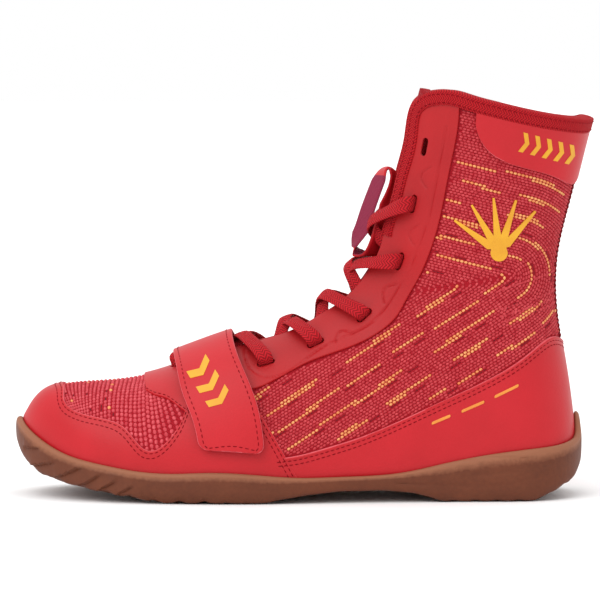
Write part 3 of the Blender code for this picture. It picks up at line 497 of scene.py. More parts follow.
def pill(segments=8, rings=3):
    """A unit half-ellipsoid: (points, faces), long in x, flat side down."""
    points = [(0.0, 0.0, 1.0)]
    for r in range(1, rings + 1):
        polar = math.pi / 2 * r / rings
        for s in range(segments):
            turn = 2 * math.pi * s / segments
            points.append((math.sin(polar) * math.cos(turn), math.sin(polar) * math.sin(turn), math.cos(polar)))
    faces = [(0, 1 + s, 1 + (s + 1) % segments) for s in range(segments)]
    for r in range(rings - 1):
        a, b = 1 + r * segments, 1 + (r + 1) * segments
        faces += [(a + s, b + s, b + (s + 1) % segments, a + (s + 1) % segments) for s in range(segments)]
    return np.array(points), faces


def scatter(name, body, places, runs, normals, sizes, materials, slots_of_places=None):
    """Many pills in one mesh that rides on a body. `sizes` are (half length, half width, height) for each."""
    corners, corner_faces = pill()
    runs = runs - normals * (runs * normals).sum(axis=1, keepdims=True)
    runs /= np.maximum(np.linalg.norm(runs, axis=1, keepdims=True), 1e-9)
    axes = (runs, np.cross(normals, runs), normals)
    scaled = corners * np.broadcast_to(sizes, (len(places), 3))[:, None]
    vertices = places[:, None] + sum(scaled[..., k:k + 1] * axis[:, None] for k, axis in enumerate(axes))
    faces = [tuple(v + i * len(corners) for v in face) for i in range(len(places)) for face in corner_faces]
    kinds = None if slots_of_places is None else np.repeat(slots_of_places, len(corner_faces))
    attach(mesh_object(name, vertices.reshape(-1, 3), faces, materials, slots_of_faces=kinds, smooth=80.0), body)


def stitches(name, lines, height, length=2.3, gap=0.5, width=0.55, body="boot"):
    """Rows of thread laid on the last at `height`: each line is a list of surface points."""
    places, runs = map(np.concatenate, zip(*[spaced(line, length + gap) for line in lines]))
    base, normals = on_last(places)
    rise = height(base) if callable(height) else height
    base = base + normals * (np.broadcast_to(np.asarray(rise, float), len(base)) - THREAD_SUNK)[:, None]
    scatter(name, body, base, runs, normals, (length / 2, width / 2, THREAD_HEIGHT), THREAD)


def inset_line(points, border, distance):
    """A line inside a panel, `distance` mm from one of its borders: "first", "last" row or "left", "right" column."""
    grid = points if border in ("first", "last") else np.swapaxes(points, 0, 1)
    if border in ("last", "right"):
        grid = grid[::-1]
    length = arc(grid, 0)
    return np.array([read_along(grid[:, j], length[:, j], distance) for j in range(grid.shape[1])])


class Look:
    """A procedural material: a Principled shader and short calls that add nodes to it."""

    def __init__(self, name, roughness=0.5, **plain):
        self.material = bpy.data.materials.new(name)
        self.material.use_nodes = True
        self.tree = self.material.node_tree
        self.shader = self.tree.nodes["Principled BSDF"]
        self.shader.inputs["Roughness"].default_value = roughness
        for key, value in plain.items():
            self.shader.inputs[key.replace("_", " ")].default_value = value
        self.place = self.add("ShaderNodeTexCoord").outputs["Object"]
        self.cloth = self.add("ShaderNodeUVMap", uv_map="cloth").outputs["UV"]

    def add(self, kind, inputs=(), **settings):
        node = self.tree.nodes.new(kind)
        for key, value in settings.items():
            setattr(node, key, value)
        for key, value in dict(inputs).items():
            if isinstance(value, bpy.types.NodeSocket):
                self.tree.links.new(value, node.inputs[key])
            else:
                node.inputs[key].default_value = value
        return node

    def math(self, operation, *values):
        return self.add("ShaderNodeMath", dict(enumerate(values)), operation=operation).outputs[0]

    def plus(self, value, other, share):
        """`value` plus a share of another value."""
        return self.math("ADD", value, self.math("MULTIPLY", other, share))

    def yarns(self, place, pitch):
        """A wave from -1 to 1 every `pitch` metres."""
        return self.math("SINE", self.math("MULTIPLY", place, 2 * math.pi / pitch))

    def noise(self, scale, detail=3.0):
        made = self.add("ShaderNodeTexNoise", {"Vector": self.place, "Scale": scale, "Detail": detail})
        return made.outputs[0]

    def cells(self, scale):
        return self.add("ShaderNodeTexVoronoi", {"Vector": self.place, "Scale": scale}).outputs["Distance"]

    def span(self, value, low, high):
        """`value` from 0..1 stretched to low..high."""
        return self.math("MULTIPLY_ADD", value, high - low, low)

    def ramp(self, value, *stops):
        """Colour by value: stops are (place, (r, g, b))."""
        node = self.add("ShaderNodeValToRGB", {"Fac": value})
        ramp = node.color_ramp
        for i, (place, colour) in enumerate(stops):
            stop = ramp.elements[i] if i < 2 else ramp.elements.new(place)
            stop.position = place
            stop.color = (*colour, 1)
        return node.outputs["Color"]

    def mix(self, share, colour, plain_colour):
        """A colour socket with a share of a plain colour laid over it."""
        node = self.add("ShaderNodeMix", {"Factor": share, "A": colour, "B": (*plain_colour, 1)}, data_type="RGBA")
        return node.outputs["Result"]

    def finish(self, colour=None, height=None, strength=0.4, depth=0.0003, roughness=None):
        if colour is not None:
            self.tree.links.new(colour, self.shader.inputs["Base Color"])
        if roughness is not None:
            self.tree.links.new(roughness, self.shader.inputs["Roughness"])
        if height is not None:
            bump = self.add("ShaderNodeBump", {"Height": height, "Strength": strength, "Distance": depth})
            self.tree.links.new(bump.outputs[0], self.shader.inputs["Normal"])
        return self.material


def coated(name, light, dark, roughness=0.42):
    """Smooth coated synthetic with a very fine grain, cloudy tone and slightly uneven gloss."""
    look = Look(name, roughness, Specular_IOR_Level=0.3)
    tone = look.noise(35.0, 4.0)
    speckle = look.noise(1400.0, 2.0)
    colour = look.ramp(look.span(look.plus(tone, speckle, 0.35), 0.0, 0.8), (0.25, dark), (0.85, light))
    grain = look.plus(look.cells(950.0), look.noise(2200.0), 0.7)
    return look.finish(colour, grain, 0.16, 0.0002, look.span(tone, roughness - 0.09, roughness + 0.13))


def woven(name, light, dark, pitch, strand, roughness=0.8, strength=0.7, zigzag=0.0016):
    """Herringbone tape: slanted yarns that turn back every `zigzag` metres across the cloth."""
    look = Look(name, roughness, Specular_IOR_Level=0.15)
    parts = look.add("ShaderNodeSeparateXYZ", {0: look.cloth}).outputs
    turn = look.math("PINGPONG", parts[1], zigzag)
    slant = look.math("MULTIPLY_ADD", turn, strand, parts[0])
    height = look.math("MULTIPLY_ADD", look.yarns(slant, pitch), 0.5, 0.5)
    rib = look.math("MULTIPLY_ADD", look.math("COSINE", look.math("MULTIPLY", turn, math.pi / zigzag)), 0.2, 0.0)
    fuzz = look.noise(2600.0, 2.0)
    tone = look.math("ADD", look.math("MULTIPLY", height, 0.75), look.math("MULTIPLY", fuzz, 0.35))
    colour = look.ramp(tone, (0.1, dark), (0.85, light))
    return look.finish(colour, look.math("ADD", height, look.math("MULTIPLY", rib, fuzz)), strength, 0.0003)


def cloth(name, light, dark, pitch, roughness=0.85):
    """Plain fabric: small crossed yarns with fuzz."""
    look = Look(name, roughness, Specular_IOR_Level=0.15)
    parts = look.add("ShaderNodeSeparateXYZ", {0: look.cloth}).outputs
    crossed = look.math("MULTIPLY", look.yarns(parts[0], pitch), look.yarns(parts[1], pitch))
    height = look.math("MULTIPLY_ADD", crossed, 0.5, 0.5)
    fuzz = look.noise(1800.0)
    tone = look.math("ADD", look.math("MULTIPLY", height, 0.6), look.math("MULTIPLY", fuzz, 0.5))
    return look.finish(look.ramp(tone, (0.2, dark), (0.8, light)), look.math("ADD", height, fuzz), 0.5, 0.0003)


def plain(name, light, dark, scale, roughness, strength=0.25, bump=600.0, **more):
    """Moulded or cast material with cloudy tone and a fine surface."""
    look = Look(name, roughness, **more)
    tone = look.noise(scale, 5.0)
    height = look.plus(look.noise(bump, 4.0), tone, 0.6)
    return look.finish(look.ramp(tone, (0.3, dark), (0.72, light)), height, strength, 0.0003,
                       look.span(look.noise(scale * 3), roughness - 0.1, roughness + 0.12))


def gum():
    """Gum rubber: warm brown, paler towards its top edge."""
    look = Look("gum_sole", 0.5, Specular_IOR_Level=0.22)
    height = look.add("ShaderNodeSeparateXYZ", {0: look.cloth}).outputs[1]
    tone = look.noise(60.0, 5.0)
    fine = look.noise(500.0, 4.0)
    mottle = look.math("ADD", look.math("MULTIPLY", tone, 0.6), look.math("MULTIPLY", fine, 0.4))
    body = look.ramp(mottle, (0.25, (0.100, 0.026, 0.011)), (0.78, (0.155, 0.043, 0.018)))
    edge = look.ramp(look.plus(height, fine, 0.12), (0.80, (0, 0, 0)), (0.97, (1, 1, 1)))
    colour = look.mix(look.math("MULTIPLY", edge, 0.75), body, (0.32, 0.125, 0.065))
    bump = look.plus(fine, look.noise(1500.0), 0.5)
    return look.finish(colour, bump, 0.3, 0.0003, look.span(mottle, 0.38, 0.66))


RED = coated("coated_red_look", (0.52, 0.009, 0.017), (0.42, 0.005, 0.010))
EYESTAY_RED = coated("eyestay_red_look", (0.44, 0.007, 0.010), (0.33, 0.003, 0.006), 0.46)
# Lighter pink for the panels' edges: a painted highlight along their rounded edges.
EDGE_HIGHLIGHT_PINK = plain("painted_edge_highlight", (0.66, 0.10, 0.12), (0.54, 0.05, 0.065), 200.0, 0.75)
NAP = cloth("knit_ground", (0.40, 0.010, 0.020), (0.22, 0.004, 0.009), 0.0011)
NUB = plain("knit_nub", (0.59, 0.070, 0.082), (0.38, 0.016, 0.026), 420.0, 0.7, 0.5, 2400.0,
            Specular_IOR_Level=0.2)
VAMP_NUB = plain("vamp_nub", (0.68, 0.105, 0.125), (0.46, 0.028, 0.042), 420.0, 0.7, 0.5, 2400.0,
                 Specular_IOR_Level=0.2)
BEAD = plain("knit_bead", (0.80, 0.38, 0.14), (0.68, 0.18, 0.05), 260.0, 0.6, 0.4, 2400.0)
# Near-black dashes on the knit: painted shadow beside the bead runs.
SHADOW_SLIT = plain("knit_painted_shadow", (0.10, 0.004, 0.008), (0.05, 0.002, 0.004), 200.0, 0.9)
THREAD = plain("thread_red", (0.26, 0.004, 0.011), (0.16, 0.002, 0.005), 300.0, 0.8, 0.5, 3000.0,
               Specular_IOR_Level=0.05)
TAPE = woven("binding_tape", (0.47, 0.010, 0.016), (0.17, 0.002, 0.004), 0.0014, 0.9, 0.8, 0.8, 0.0017)
LACE = woven("lace_braid", (0.52, 0.012, 0.020), (0.18, 0.003, 0.005), 0.0016, 0.9, 0.72, 1.0, 0.0020)
STRIP = woven("back_tape", (0.22, 0.005, 0.010), (0.09, 0.002, 0.004), 0.0014, 0.8)
LINER = cloth("lining_cloth", (0.34, 0.014, 0.024), (0.18, 0.006, 0.010), 0.0014)
TONGUE_CLOTH = cloth("tongue_cloth", (0.36, 0.009, 0.015), (0.19, 0.004, 0.007), 0.0016)
PURPLE = cloth("keeper_underside", (0.27, 0.028, 0.065), (0.16, 0.012, 0.034), 0.0012)
HOOKS = cloth("hook_and_loop", (0.16, 0.006, 0.010), (0.06, 0.002, 0.004), 0.0012)
GUM = gum()
FOAM = plain("foam_look", (0.78, 0.74, 0.66), (0.62, 0.58, 0.5), 300.0, 0.9, 0.5)
BOARD = plain("board_look", (0.5, 0.37, 0.22), (0.36, 0.26, 0.15), 120.0, 0.9, 0.4)
YELLOW = plain("yellow_print_look", (0.72, 0.36, 0.006), (0.64, 0.28, 0.004), 90.0, 0.5, 0.2, 1200.0)
ORANGE = plain("orange_print_look", (0.74, 0.27, 0.03), (0.66, 0.20, 0.02), 90.0, 0.5, 0.2, 1200.0)
SOCK = cloth("sockliner_cloth", (0.30, 0.014, 0.022), (0.15, 0.006, 0.010), 0.0014)


def edge_height(x):
    """Height at which the upper's panels end, just above the outsole's floor."""
    return float(monotone(SOLE_BOTTOM, x)) + OUTSOLE_FLOOR + EDGE_LIFT


def foot_edge(x, hand):
    """A panel's lower edge point at x, down inside the sole."""
    return side(x, edge_height(x), hand)


TOE_EDGE = LAST.at((-143.5, 6, 31))[0]
HEEL_EDGE = LAST.at((139, 0, 24))[0]


def back_seam(z, y, hand):
    """A point near the back seam, y from the middle."""
    return LAST.at((170, hand * y, z))[0] * (1, 0, 1) + np.array([0, hand * y, 0])


# Side-view lines of the panels, (x, z) in mm, front to back or bottom to top.
TOE_PANEL_TOP = ((-120, 47), (-108, 42.5), (-92, 38.5), (-86, 33), (-80, 27), (-74, 26.5), (-68, 31), (-61, 41),
                 (-57, 50))
TOE_PANEL_BOTTOM_X = (-128, -115, -102, -93, -85, -76, -66, -54, -42)
TOE_PANEL_REAR = ((-50, 54), (-40, 55), (-27, 53.5))
TOE_PANEL_REAR_X = (-30, -15, -0.3)
EYESTAY_REAR = ((-46, 59), (-24, 57), (-1, 68), (29.4, 79.5), (45.6, 90), (54, 103), (63.3, 121.5), (70, 143),
                (74.5, 166), (79, 190), (80, 206))
HEEL_PANEL_TOP = ((-4.5, 23.5), (10, 27), (30, 33), (50, 41), (72, 51), (93, 61), (113, 73), (126, 82))
HEEL_PANEL_BOTTOM_X = (0.5, 13, 31, 50, 71, 92, 112, 128)
COLLAR_CORNER = ((61.5, 204), (68, 206.6))
COLLAR_FRONT = (77, 206.5)
COLLAR_BACK_Z = 187.5


def throat_edge(hand):
    """Points along the throat's edge on one side, from its foot up to the collar."""
    low = [top(x, ridge + hand * THROAT_GAP) for x, ridge in ((-51, 2.7), (-24, 2.2), (-4, 1.8), (12, 1.2), (22, 0.8))]
    high = [front(hand * (THROAT_GAP + more), z)
            for z, more in ((118, 0.3), (134.5, 1.0), (147, 2.2), (166, 4.5), (184, 6.5), (200, 8))]
    return low + high


THROAT_FOOT_X = -64
SLOT_POINTS = ((-42.8, 63), (-18.3, 69), (7.1, 79), (32.1, 93), (50.4, 121), (57.1, 150.4), (62.7, 179.5))


def slots(hand):
    """(centre, normal, long direction) of each lace slot on one side; the first is in the throat's foot."""
    found = []
    places = [top(THROAT_FOOT_X, 3 + hand * 9.5)] + [side(x, z, hand) for x, z in SLOT_POINTS]
    for i, place in enumerate(places):
        point, normal = LAST.at(place)
        run = places[min(i + 1, len(places) - 1)] - places[max(i - 1, 0)]
        run = run - normal * run.dot(normal)
        found.append((point, normal, run / np.linalg.norm(run)))
    return found


def sole_halves(count):
    """The last's feather line on each side, toe to heel, as (points, outward plan directions)."""
    halves = []
    for hand in BOTH:
        line = [LAST.at((-146, 6, 39.7))[0], side(-141.5, 36, hand)]
        line += [side(x, z, hand) for x, z in SOLE_TOP[1:]]
        line.append(side(136, 29, hand))
        line += [LAST.at((150, hand * y, z))[0] for y, z in ((14, 33), (6, 39.5), (0, HEEL_CURL))]
        points = through(line, count)
        run = np.gradient(points, axis=0)
        outward = unit(np.stack([-run[:, 1], run[:, 0]], axis=1) * hand)
        outward[0] = (-1, 0)
        outward[-1] = (1, 0)
        halves.append((points, np.column_stack([outward, np.zeros(len(outward))])))
    return halves


# The lace's heights over the last at a slot, on its way up or down, and (share of the way to the middle, depth)
# where it runs under the panels. Its heights at the middle and past it are by the side it starts from.
UP_THROUGH = (-2.0, 1.0, 3.2)
DOWN_THROUGH = (3.6, 1.0, -2.0)
UNDER_EYESTAY = ((0.16, 2.0), (0.42, 1.8), (0.68, 1.0))
UNDER_BINDING = ((0.16, 2.6), (0.42, 2.6), (0.68, 0.8))
FOOT_LIFTS = {LATERAL: (4.8, 4.4), MEDIAL: (2.9, 4.4)}
LIFTS = {LATERAL: (3.8, 5.1), MEDIAL: (1.7, 5.1)}
# The lace is tucked in at this slot, and the one above it stays empty.
END_SLOT = 6


def lace_half(first):
    """(point, width direction) controls of half the lace, from the bar under the throat's foot to its tucked end."""
    places = {hand: slots(hand) for hand in BOTH}
    centre, normal = LAST.at(top(THROAT_FOOT_X, 3))
    controls = [(centre - normal * 2.2, places[LATERAL][0][2])]
    hand = first
    for k in range(END_SLOT + 1):
        point, away, along = places[hand][k]
        controls += [(point + away * height, along) for height in (UP_THROUGH if k == 0 else DOWN_THROUGH)]
        if k == END_SLOT:
            break
        target = places[-hand][k + 1][0]
        share = 0.4 if k == 0 else 0.5
        middle, middle_normal = LAST.at(point + (target - point) * share + (away + places[-hand][k + 1][1]) * 12)
        width = np.cross(middle_normal, target - point)
        width *= np.sign(width.dot(along)) / np.linalg.norm(width)
        for part, depth in () if k == 0 else UNDER_BINDING if k > 3 else UNDER_EYESTAY:
            under, under_normal = LAST.at(point + (middle - point) * part)
            controls.append((under - under_normal * depth, along + (width - along) * part))
        over, over_normal = LAST.at(target + (middle - target) * 0.5)
        lift, over_lift = (FOOT_LIFTS if k == 0 else LIFTS)[first]
        controls += [(middle + middle_normal * lift, width), (over + over_normal * over_lift, width)]
        hand = -hand
    tuck, tuck_normal = LAST.at(point + along * 12 + (places[-hand][END_SLOT][0] - point) * 0.12)
    controls.append((tuck - tuck_normal * 3.0, along))
    return controls


# ---- Panels of the upper ----------------------------------------------------------------------------

def place(made, body, slot, node):
    """Has an object stand for one node, on its body. `slot` is not used."""
    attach(made, body)
    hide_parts(node)


def panel(node, slot, ribs, spacing, layer, materials, body="boot", cutter=None, **shape):
    """The slab that is drawn for one node, with `cutter` cut out of it: (object, surface points)."""
    made, points = slab(node + "_look", ribs, spacing, layer, materials, **shape)
    if cutter is not None:
        cut(made, cutter)
    place(made, body, slot, node)
    return made, points


def make_toe_panel():
    lateral, medial = ([(side(-141, 32, hand), top(-122.5, 5.5 + hand * 12))]
                       + [(foot_edge(x, hand), side(*point, hand)) for x, point in
                          zip(TOE_PANEL_BOTTOM_X + TOE_PANEL_REAR_X, TOE_PANEL_TOP + TOE_PANEL_REAR)]
                       for hand in BOTH)
    _, points = panel("toe_panel", "coated_red", lateral[::-1] + [(TOE_EDGE, top(-124, 5.5))] + medial, 1.3, OVERLAY,
                      [RED, EDGE_HIGHLIGHT_PINK], edge_slot=1)
    rows = [inset_line(points, "right", gap) for gap in (1.5, 4.0)]
    rows += [inset_line(points, end, gap) for end in ("first", "last") for gap in (1.6, 4.0)]
    stitches("toe_panel_stitching", rows, OVERLAY[1])


# The kinds of nub, as indexes into the materials of a weave.
# The slit kind is a near-black dash of painted shadow.
IS_NUB, IS_BEAD, IS_SHADOW_SLIT = 0, 1, 2
NUB_TURN = 0.35


def weave_nubs(name, rows, sunk, nub, turn=None):
    """The nubs of a mesh, from rows of (points, directions, kinds, sizes), `sunk` mm into its face.

    With `turn`, a random generator, each nub is turned a little.
    """
    points, runs, kinds, sizes = map(np.concatenate, zip(*rows))
    base, up = on_last(points)
    if turn is not None:
        angle = turn.uniform(-NUB_TURN, NUB_TURN, (len(runs), 1))
        runs = runs * np.cos(angle) + np.cross(up, runs) * np.sin(angle)
    scatter(name, "boot", base + up * (MESH[1] - sunk), runs, up, sizes, [nub, BEAD, SHADOW_SLIT], kinds)


# Each rib's foot (x, z), x on the ridge, x beside it and y of the ridge, toe to throat.
VAMP_MESH_RIBS = (((-120, 45), -134, -131.5, 5.5), ((-107, 37), -109, -109, 5), ((-92, 31), -92, -92, 4.2),
                  ((-77, 23), -80, -80, 3.4), ((-53, 46), -72, -71, 3))
VAMP_SEED = 5
VAMP_NUB_PITCH = 2.45
VAMP_STAGGER = 1.22
VAMP_ROW_PITCH = 1.9


def make_vamp_mesh():
    """The mesh over the toe box: a crimson ground with staggered nubs that grow towards the low rear notch."""
    ribs = []
    for (x, z), ridge_x, near_x, ridge_y in VAMP_MESH_RIBS:
        ribs.append((side(x, z, LATERAL), top(near_x, ridge_y - 13), top(ridge_x, ridge_y),
                     top(near_x, ridge_y + 13), side(x, z, MEDIAL)))
    made, points = panel("vamp_mesh", "knit_red", ribs, 1.6, MESH, [NAP])
    random = np.random.default_rng(VAMP_SEED)
    length = arc(points, 0)[-1].mean()
    rows = []
    row_at = 0.6
    while row_at < length - 0.5:
        share = row_at / length
        grow = 0.72 + 0.4 * smoothstep(share / 0.7)
        row, run = spaced(sample(points, [share])[0], VAMP_NUB_PITCH * grow)
        if len(rows) % 2:
            row = row + run * (VAMP_STAGGER * grow)
        size = np.tile((1.2 * grow, 0.9 * grow, 0.72), (len(row), 1))
        kind = np.full(len(row), IS_NUB)
        near = (row[:, 0] > -122) & (row[:, 0] < -96)
        draw = random.random(len(row))
        # A few near-black dashes near the toe: painted shadow.
        kind[near & (draw < 0.03)] = IS_SHADOW_SLIT
        kind[near & (draw > 0.975)] = IS_BEAD
        size[kind == IS_SHADOW_SLIT] = (1.2, 0.26, 0.3)
        rows.append((row, run, kind, size))
        row_at += VAMP_ROW_PITCH * grow
    weave_nubs("vamp_mesh_knit", rows, 0.1, VAMP_NUB, random)
    declare_cloth(made, points)


def declare_cloth(made, points):
    """Measures the flat width and length that a sheet's grid unrolls to; nothing uses them."""
    width = arc(points, 1)[:, -1].max() * MM
    length = arc(points, 0)[-1].max() * MM


def slot_cutters(name, chosen):
    """Rounded prisms for some lace slots, in one hidden object."""
    vertices, faces = [], []
    radius = SLOT_WIDTH / 2
    centre = SLOT_LENGTH / 2 - radius
    for point, normal, run in chosen:
        across = np.cross(normal, run)
        outline = []
        for end, start in ((centre, -90), (-centre, 90)):
            angles = [math.radians(start + 22.5 * step) for step in range(9)]
            outline += [(end + radius * math.cos(angle), radius * math.sin(angle)) for angle in angles]
        first, count = len(vertices), len(outline)
        vertices += [point + run * a + across * b + normal * h for h in (-4, 5) for a, b in outline]
        faces += [tuple(first + i for i in range(count))[::-1], tuple(first + count + i for i in range(count))]
        faces += [tuple(first + corner for corner in face) for face in tube_faces(2, count)]
    cutter = mesh_object(name, vertices, faces, [RED])
    flip_if_inside_out(cutter)
    cutter.hide_render = True
    return cutter


def cut(target, cutter):
    """Cuts the cutter's shape out of the target's mesh, and removes the cutter."""
    hole = target.modifiers.new("slots", "BOOLEAN")
    hole.object = cutter
    hole.operation = "DIFFERENCE"
    graph = bpy.context.evaluated_depsgraph_get()
    done = bpy.data.meshes.new_from_object(target.evaluated_get(graph))
    target.modifiers.clear()
    target.data = done
    bpy.data.objects.remove(cutter)


def make_vamp_overlay():
    ribs = [(side(x, z, LATERAL), top(ridge_x, 3), side(x, z, MEDIAL))
            for x, z, ridge_x in ((-79.5, 55, -81.5), (-75, 53, -76.5), (-69.5, 51.8, -70.5), (-62.5, 47.8, -65),
                                  (-56, 43.5, -58))]
    _, points = panel("vamp_overlay", "coated_red", ribs, 1.0, OVERLAY_RAISED, [RED],
                      cutter=slot_cutters("overlay_slots", [slots(hand)[0] for hand in BOTH]))
    stitches("vamp_overlay_stitching", [inset_line(points, edge, 1.5) for edge in ("left", "right")],
             OVERLAY_RAISED[1])


QUARTER_FRONT = ((-30, 57), (-2, 70), (28, 81.5), (43.5, 92), (52, 105), (61, 123), (67.5, 144.5), (72, 167),
                 (76, 190), COLLAR_FRONT)


def quarter_ribs(hand):
    rear_line = [side(x, z, hand) for x, z in ((-3, 13), (40, 31), (76, 47), (104, 62), (122, 73))]
    rear_line += seam_points(((82, 5.5), (106, 2), (132, 1.5), (158, 1.5), (COLLAR_BACK_Z, 1.5)), hand)
    return [(side(x, z, hand), rear) for (x, z), rear in zip(QUARTER_FRONT, rear_line)]


# The knit's rows run as nested arrowheads: lower limbs rise to the rear, upper limbs fall to it, and past
# the nose they bend round as arcs.
ROW_LOWER = np.array((math.sin(math.radians(33)), -math.cos(math.radians(33))))
ROW_UPPER = np.array((math.sin(math.radians(14)), math.cos(math.radians(14))))
ROW_NOSE = np.array((106.0, 114.0))
ROW_ROUND = 5.0
ROW_PITCH = 1.42
NUB_PITCH = 2.15
QUARTER_SEED = 11
SHORTEST_ROW = 6
# (half length, half width, height) of a nub, a bead and a slit; the slit is a dash of painted shadow.
QUARTER_NUB_SIZES = np.array(((1.06, 0.71, 0.68), (1.0, 0.74, 0.78), (1.15, 0.2, 0.3)))


def row_height(x, z):
    """Which knit row passes (x, z): its distance from the wedge whose corner is at the nose."""
    dx, dz = x - ROW_NOSE[0], z - ROW_NOSE[1]
    lower = dx * ROW_LOWER[0] + dz * ROW_LOWER[1]
    upper = dx * ROW_UPPER[0] + dz * ROW_UPPER[1]
    gap = np.abs(lower - upper)
    wedge = np.maximum(lower, upper) + np.maximum(ROW_ROUND - gap, 0) ** 2 / (4 * ROW_ROUND)
    past_lower = dx * ROW_LOWER[1] - dz * ROW_LOWER[0]
    past_upper = dx * ROW_UPPER[1] - dz * ROW_UPPER[0]
    in_arc = (past_lower < 0) & (past_upper > 0)
    return np.where(in_arc, np.hypot(dx, dz), wedge)


def inside(x, z, outline):
    """Whether (x, z) is inside a side-view outline."""
    found = np.zeros(np.shape(x), bool)
    for (ax, az), (bx, bz) in zip(outline, outline[1:] + outline[:1]):
        crosses = (az > z) != (bz > z)
        found ^= crosses & (x < (bx - ax) * (z - az) / ((bz - az) or 1e-9) + ax)
    return found


def back_x(z):
    """How far back the surface reaches at a height."""
    return np.interp(z, [p[1] for p in BACK_LINE[-8:]], [p[0] for p in BACK_LINE[-8:]])


def knit_rows():
    """Side-view polylines of the knit's rows."""
    z = np.arange(22.0, 204.0, 0.2)
    rows = []
    for index in range(-90, 70):
        target = index * ROW_PITCH
        low, high = np.full(len(z), -60.0), np.full(len(z), 260.0)
        for _ in range(26):
            middle = (low + high) / 2
            above = row_height(middle, z) > target
            high = np.where(above, middle, high)
            low = np.where(above, low, middle)
        x = (low + high) / 2
        rows.append((index, x, z))
    return rows


QUARTER_OUTLINE = [(-46, 58), (-24, 56), (-1, 67.2), (29.4, 78.7), (46.4, 89.7), (54.8, 103), (64.1, 121.5),
                   (70.8, 143), (75.3, 166), (79.8, 190), (81, 201), (90, 201), (100, 199.5), (112, 196.5),
                   (126, 193), (138, 189.5), (150, 188), (152, 150), (148, 83), (126, 82.4), (113, 73.4),
                   (93, 61.4), (72, 51.4), (50, 41.4), (30, 33.4), (10, 27.4), (-4.5, 23.9), (-27, 25), (-40, 40)]
PATCH_HOLE = [(89, 186), (96, 178.5), (106, 172.5), (120, 168), (136, 163), (152, 160), (152, 192), (135, 196),
              (112, 200), (89, 205)]


def stretches(keep):
    """(first, last) index of every unbroken run of True."""
    edges = np.diff(np.concatenate([[0], keep.astype(int), [0]]))
    return zip(np.flatnonzero(edges > 0), np.flatnonzero(edges < 0) - 1)


def make_quarter_mesh(hand, word):
    name = f"quarter_mesh_{word}"
    made, points = panel(name, "knit_red", quarter_ribs(hand), 1.7, MESH, [NAP])
    random = np.random.default_rng(QUARTER_SEED)
    rows = []
    for index, x, z in knit_rows():
        keep = inside(x, z, QUARTER_OUTLINE) & ~inside(x, z, PATCH_HOLE) & (x < back_x(z) - 0.4) & (x > -45)
        for start, end in stretches(keep):
            if end - start < SHORTEST_ROW:
                continue
            line = [side(a, b, hand) for a, b in zip(x[start:end + 1:2], z[start:end + 1:2])]
            row, run = spaced(line, NUB_PITCH)
            if index % 2:
                row = row + run * (NUB_PITCH / 2)
            kind = np.full(len(row), IS_NUB)
            if index % 7 in (0, 1):
                at = int(random.integers(0, 14))
                while at < len(row):
                    long = int(random.integers(5, 15))
                    kind[at:at + long] = IS_BEAD
                    at += long + int(random.integers(6, 18))
            # Rows next to the bead runs get near-black dashes: painted shadow beside the beads.
            elif index % 7 == 2 and z[start:end].mean() < 120:
                at = int(random.integers(0, 10))
                while at < len(row):
                    kind[at:at + 3] = IS_SHADOW_SLIT
                    at += int(random.integers(6, 14))
            rows.append((row, run, kind, QUARTER_NUB_SIZES[kind]))
    weave_nubs(f"quarter_knit_{word}", rows, 0.08, NUB)
    declare_cloth(made, points)


EMBOSSED = ((-29, 75), (-26, 66), (-18, 62.5), (8, 75.5), (30, 86), (41, 94.5), (49, 106.5), (58, 124), (65, 145),
            (69.5, 167), (73.5, 190))
ARC_SPANS = 12
EMBOSS_DEPTH = 0.6
EMBOSS_WIDTH = 0.45


def embossed_lines(hand):
    """The eyestay's pressed line, parallel to its lower and rear edges, and short arcs between the slots."""
    lines = [through([side(x, z, hand) for x, z in EMBOSSED], 60)]
    for low, high in zip(np.array(SLOT_POINTS[2:]), SLOT_POINTS[3:]):
        run = high - low
        middle = (low + high) / 2
        ahead = np.array((run[1], -run[0])) / math.hypot(*run)
        spots = (middle - run * 0.18 + ahead * 5, middle + ahead, middle + run * 0.18 + ahead * 5)
        lines.append(through([side(*spot, hand) for spot in spots], ARC_SPANS))
    return lines


def make_eyestay(hand, word):
    lines = embossed_lines(hand)

    def relief(points):
        return -sum(EMBOSS_DEPTH * np.exp(-(gap_to_line(points, line) / EMBOSS_WIDTH) ** 2) for line in lines)

    ribs = list(zip(throat_edge(hand), [side(x, z, hand) for x, z in EYESTAY_REAR]))
    panel(f"eyestay_{word}", "coated_red", ribs, 0.65, EYESTAY, [EYESTAY_RED], relief=relief,
          cutter=slot_cutters(f"eyestay_slots_{word}", slots(hand)[1:]))


def make_heel_panel():
    lateral, medial = ([(foot_edge(x, hand), side(*point, hand)) for x, point in
                        zip((-8, *HEEL_PANEL_BOTTOM_X), ((-14, 22.5), *HEEL_PANEL_TOP))] for hand in BOTH)

    def layer(points):
        """The front end tucks under the toe panel's rear edge."""
        low_x = -3 - 0.62 * (points[..., 2] - 10)
        return OVERLAY[0], OVERLAY[1] - 0.6 * smoothstep((low_x + 3 - points[..., 0]) / 3)

    def relief(points):
        """A rolled bead along the top edge."""
        length = arc(points, 1)
        return 0.45 * np.exp(-((length[:, -1:] - length - 0.9) / 0.7) ** 2)

    _, points = panel("heel_panel", "coated_red",
                      lateral + [(HEEL_EDGE, LAST.at((160, 0, 84))[0])] + medial[::-1], 1.2, layer,
                      [RED, EDGE_HIGHLIGHT_PINK], relief=relief, edge=0.7, edge_slot=1)
    stitches("heel_panel_stitching", [inset_line(points, "right", gap) for gap in (2.1, 4.2)], OVERLAY[1])


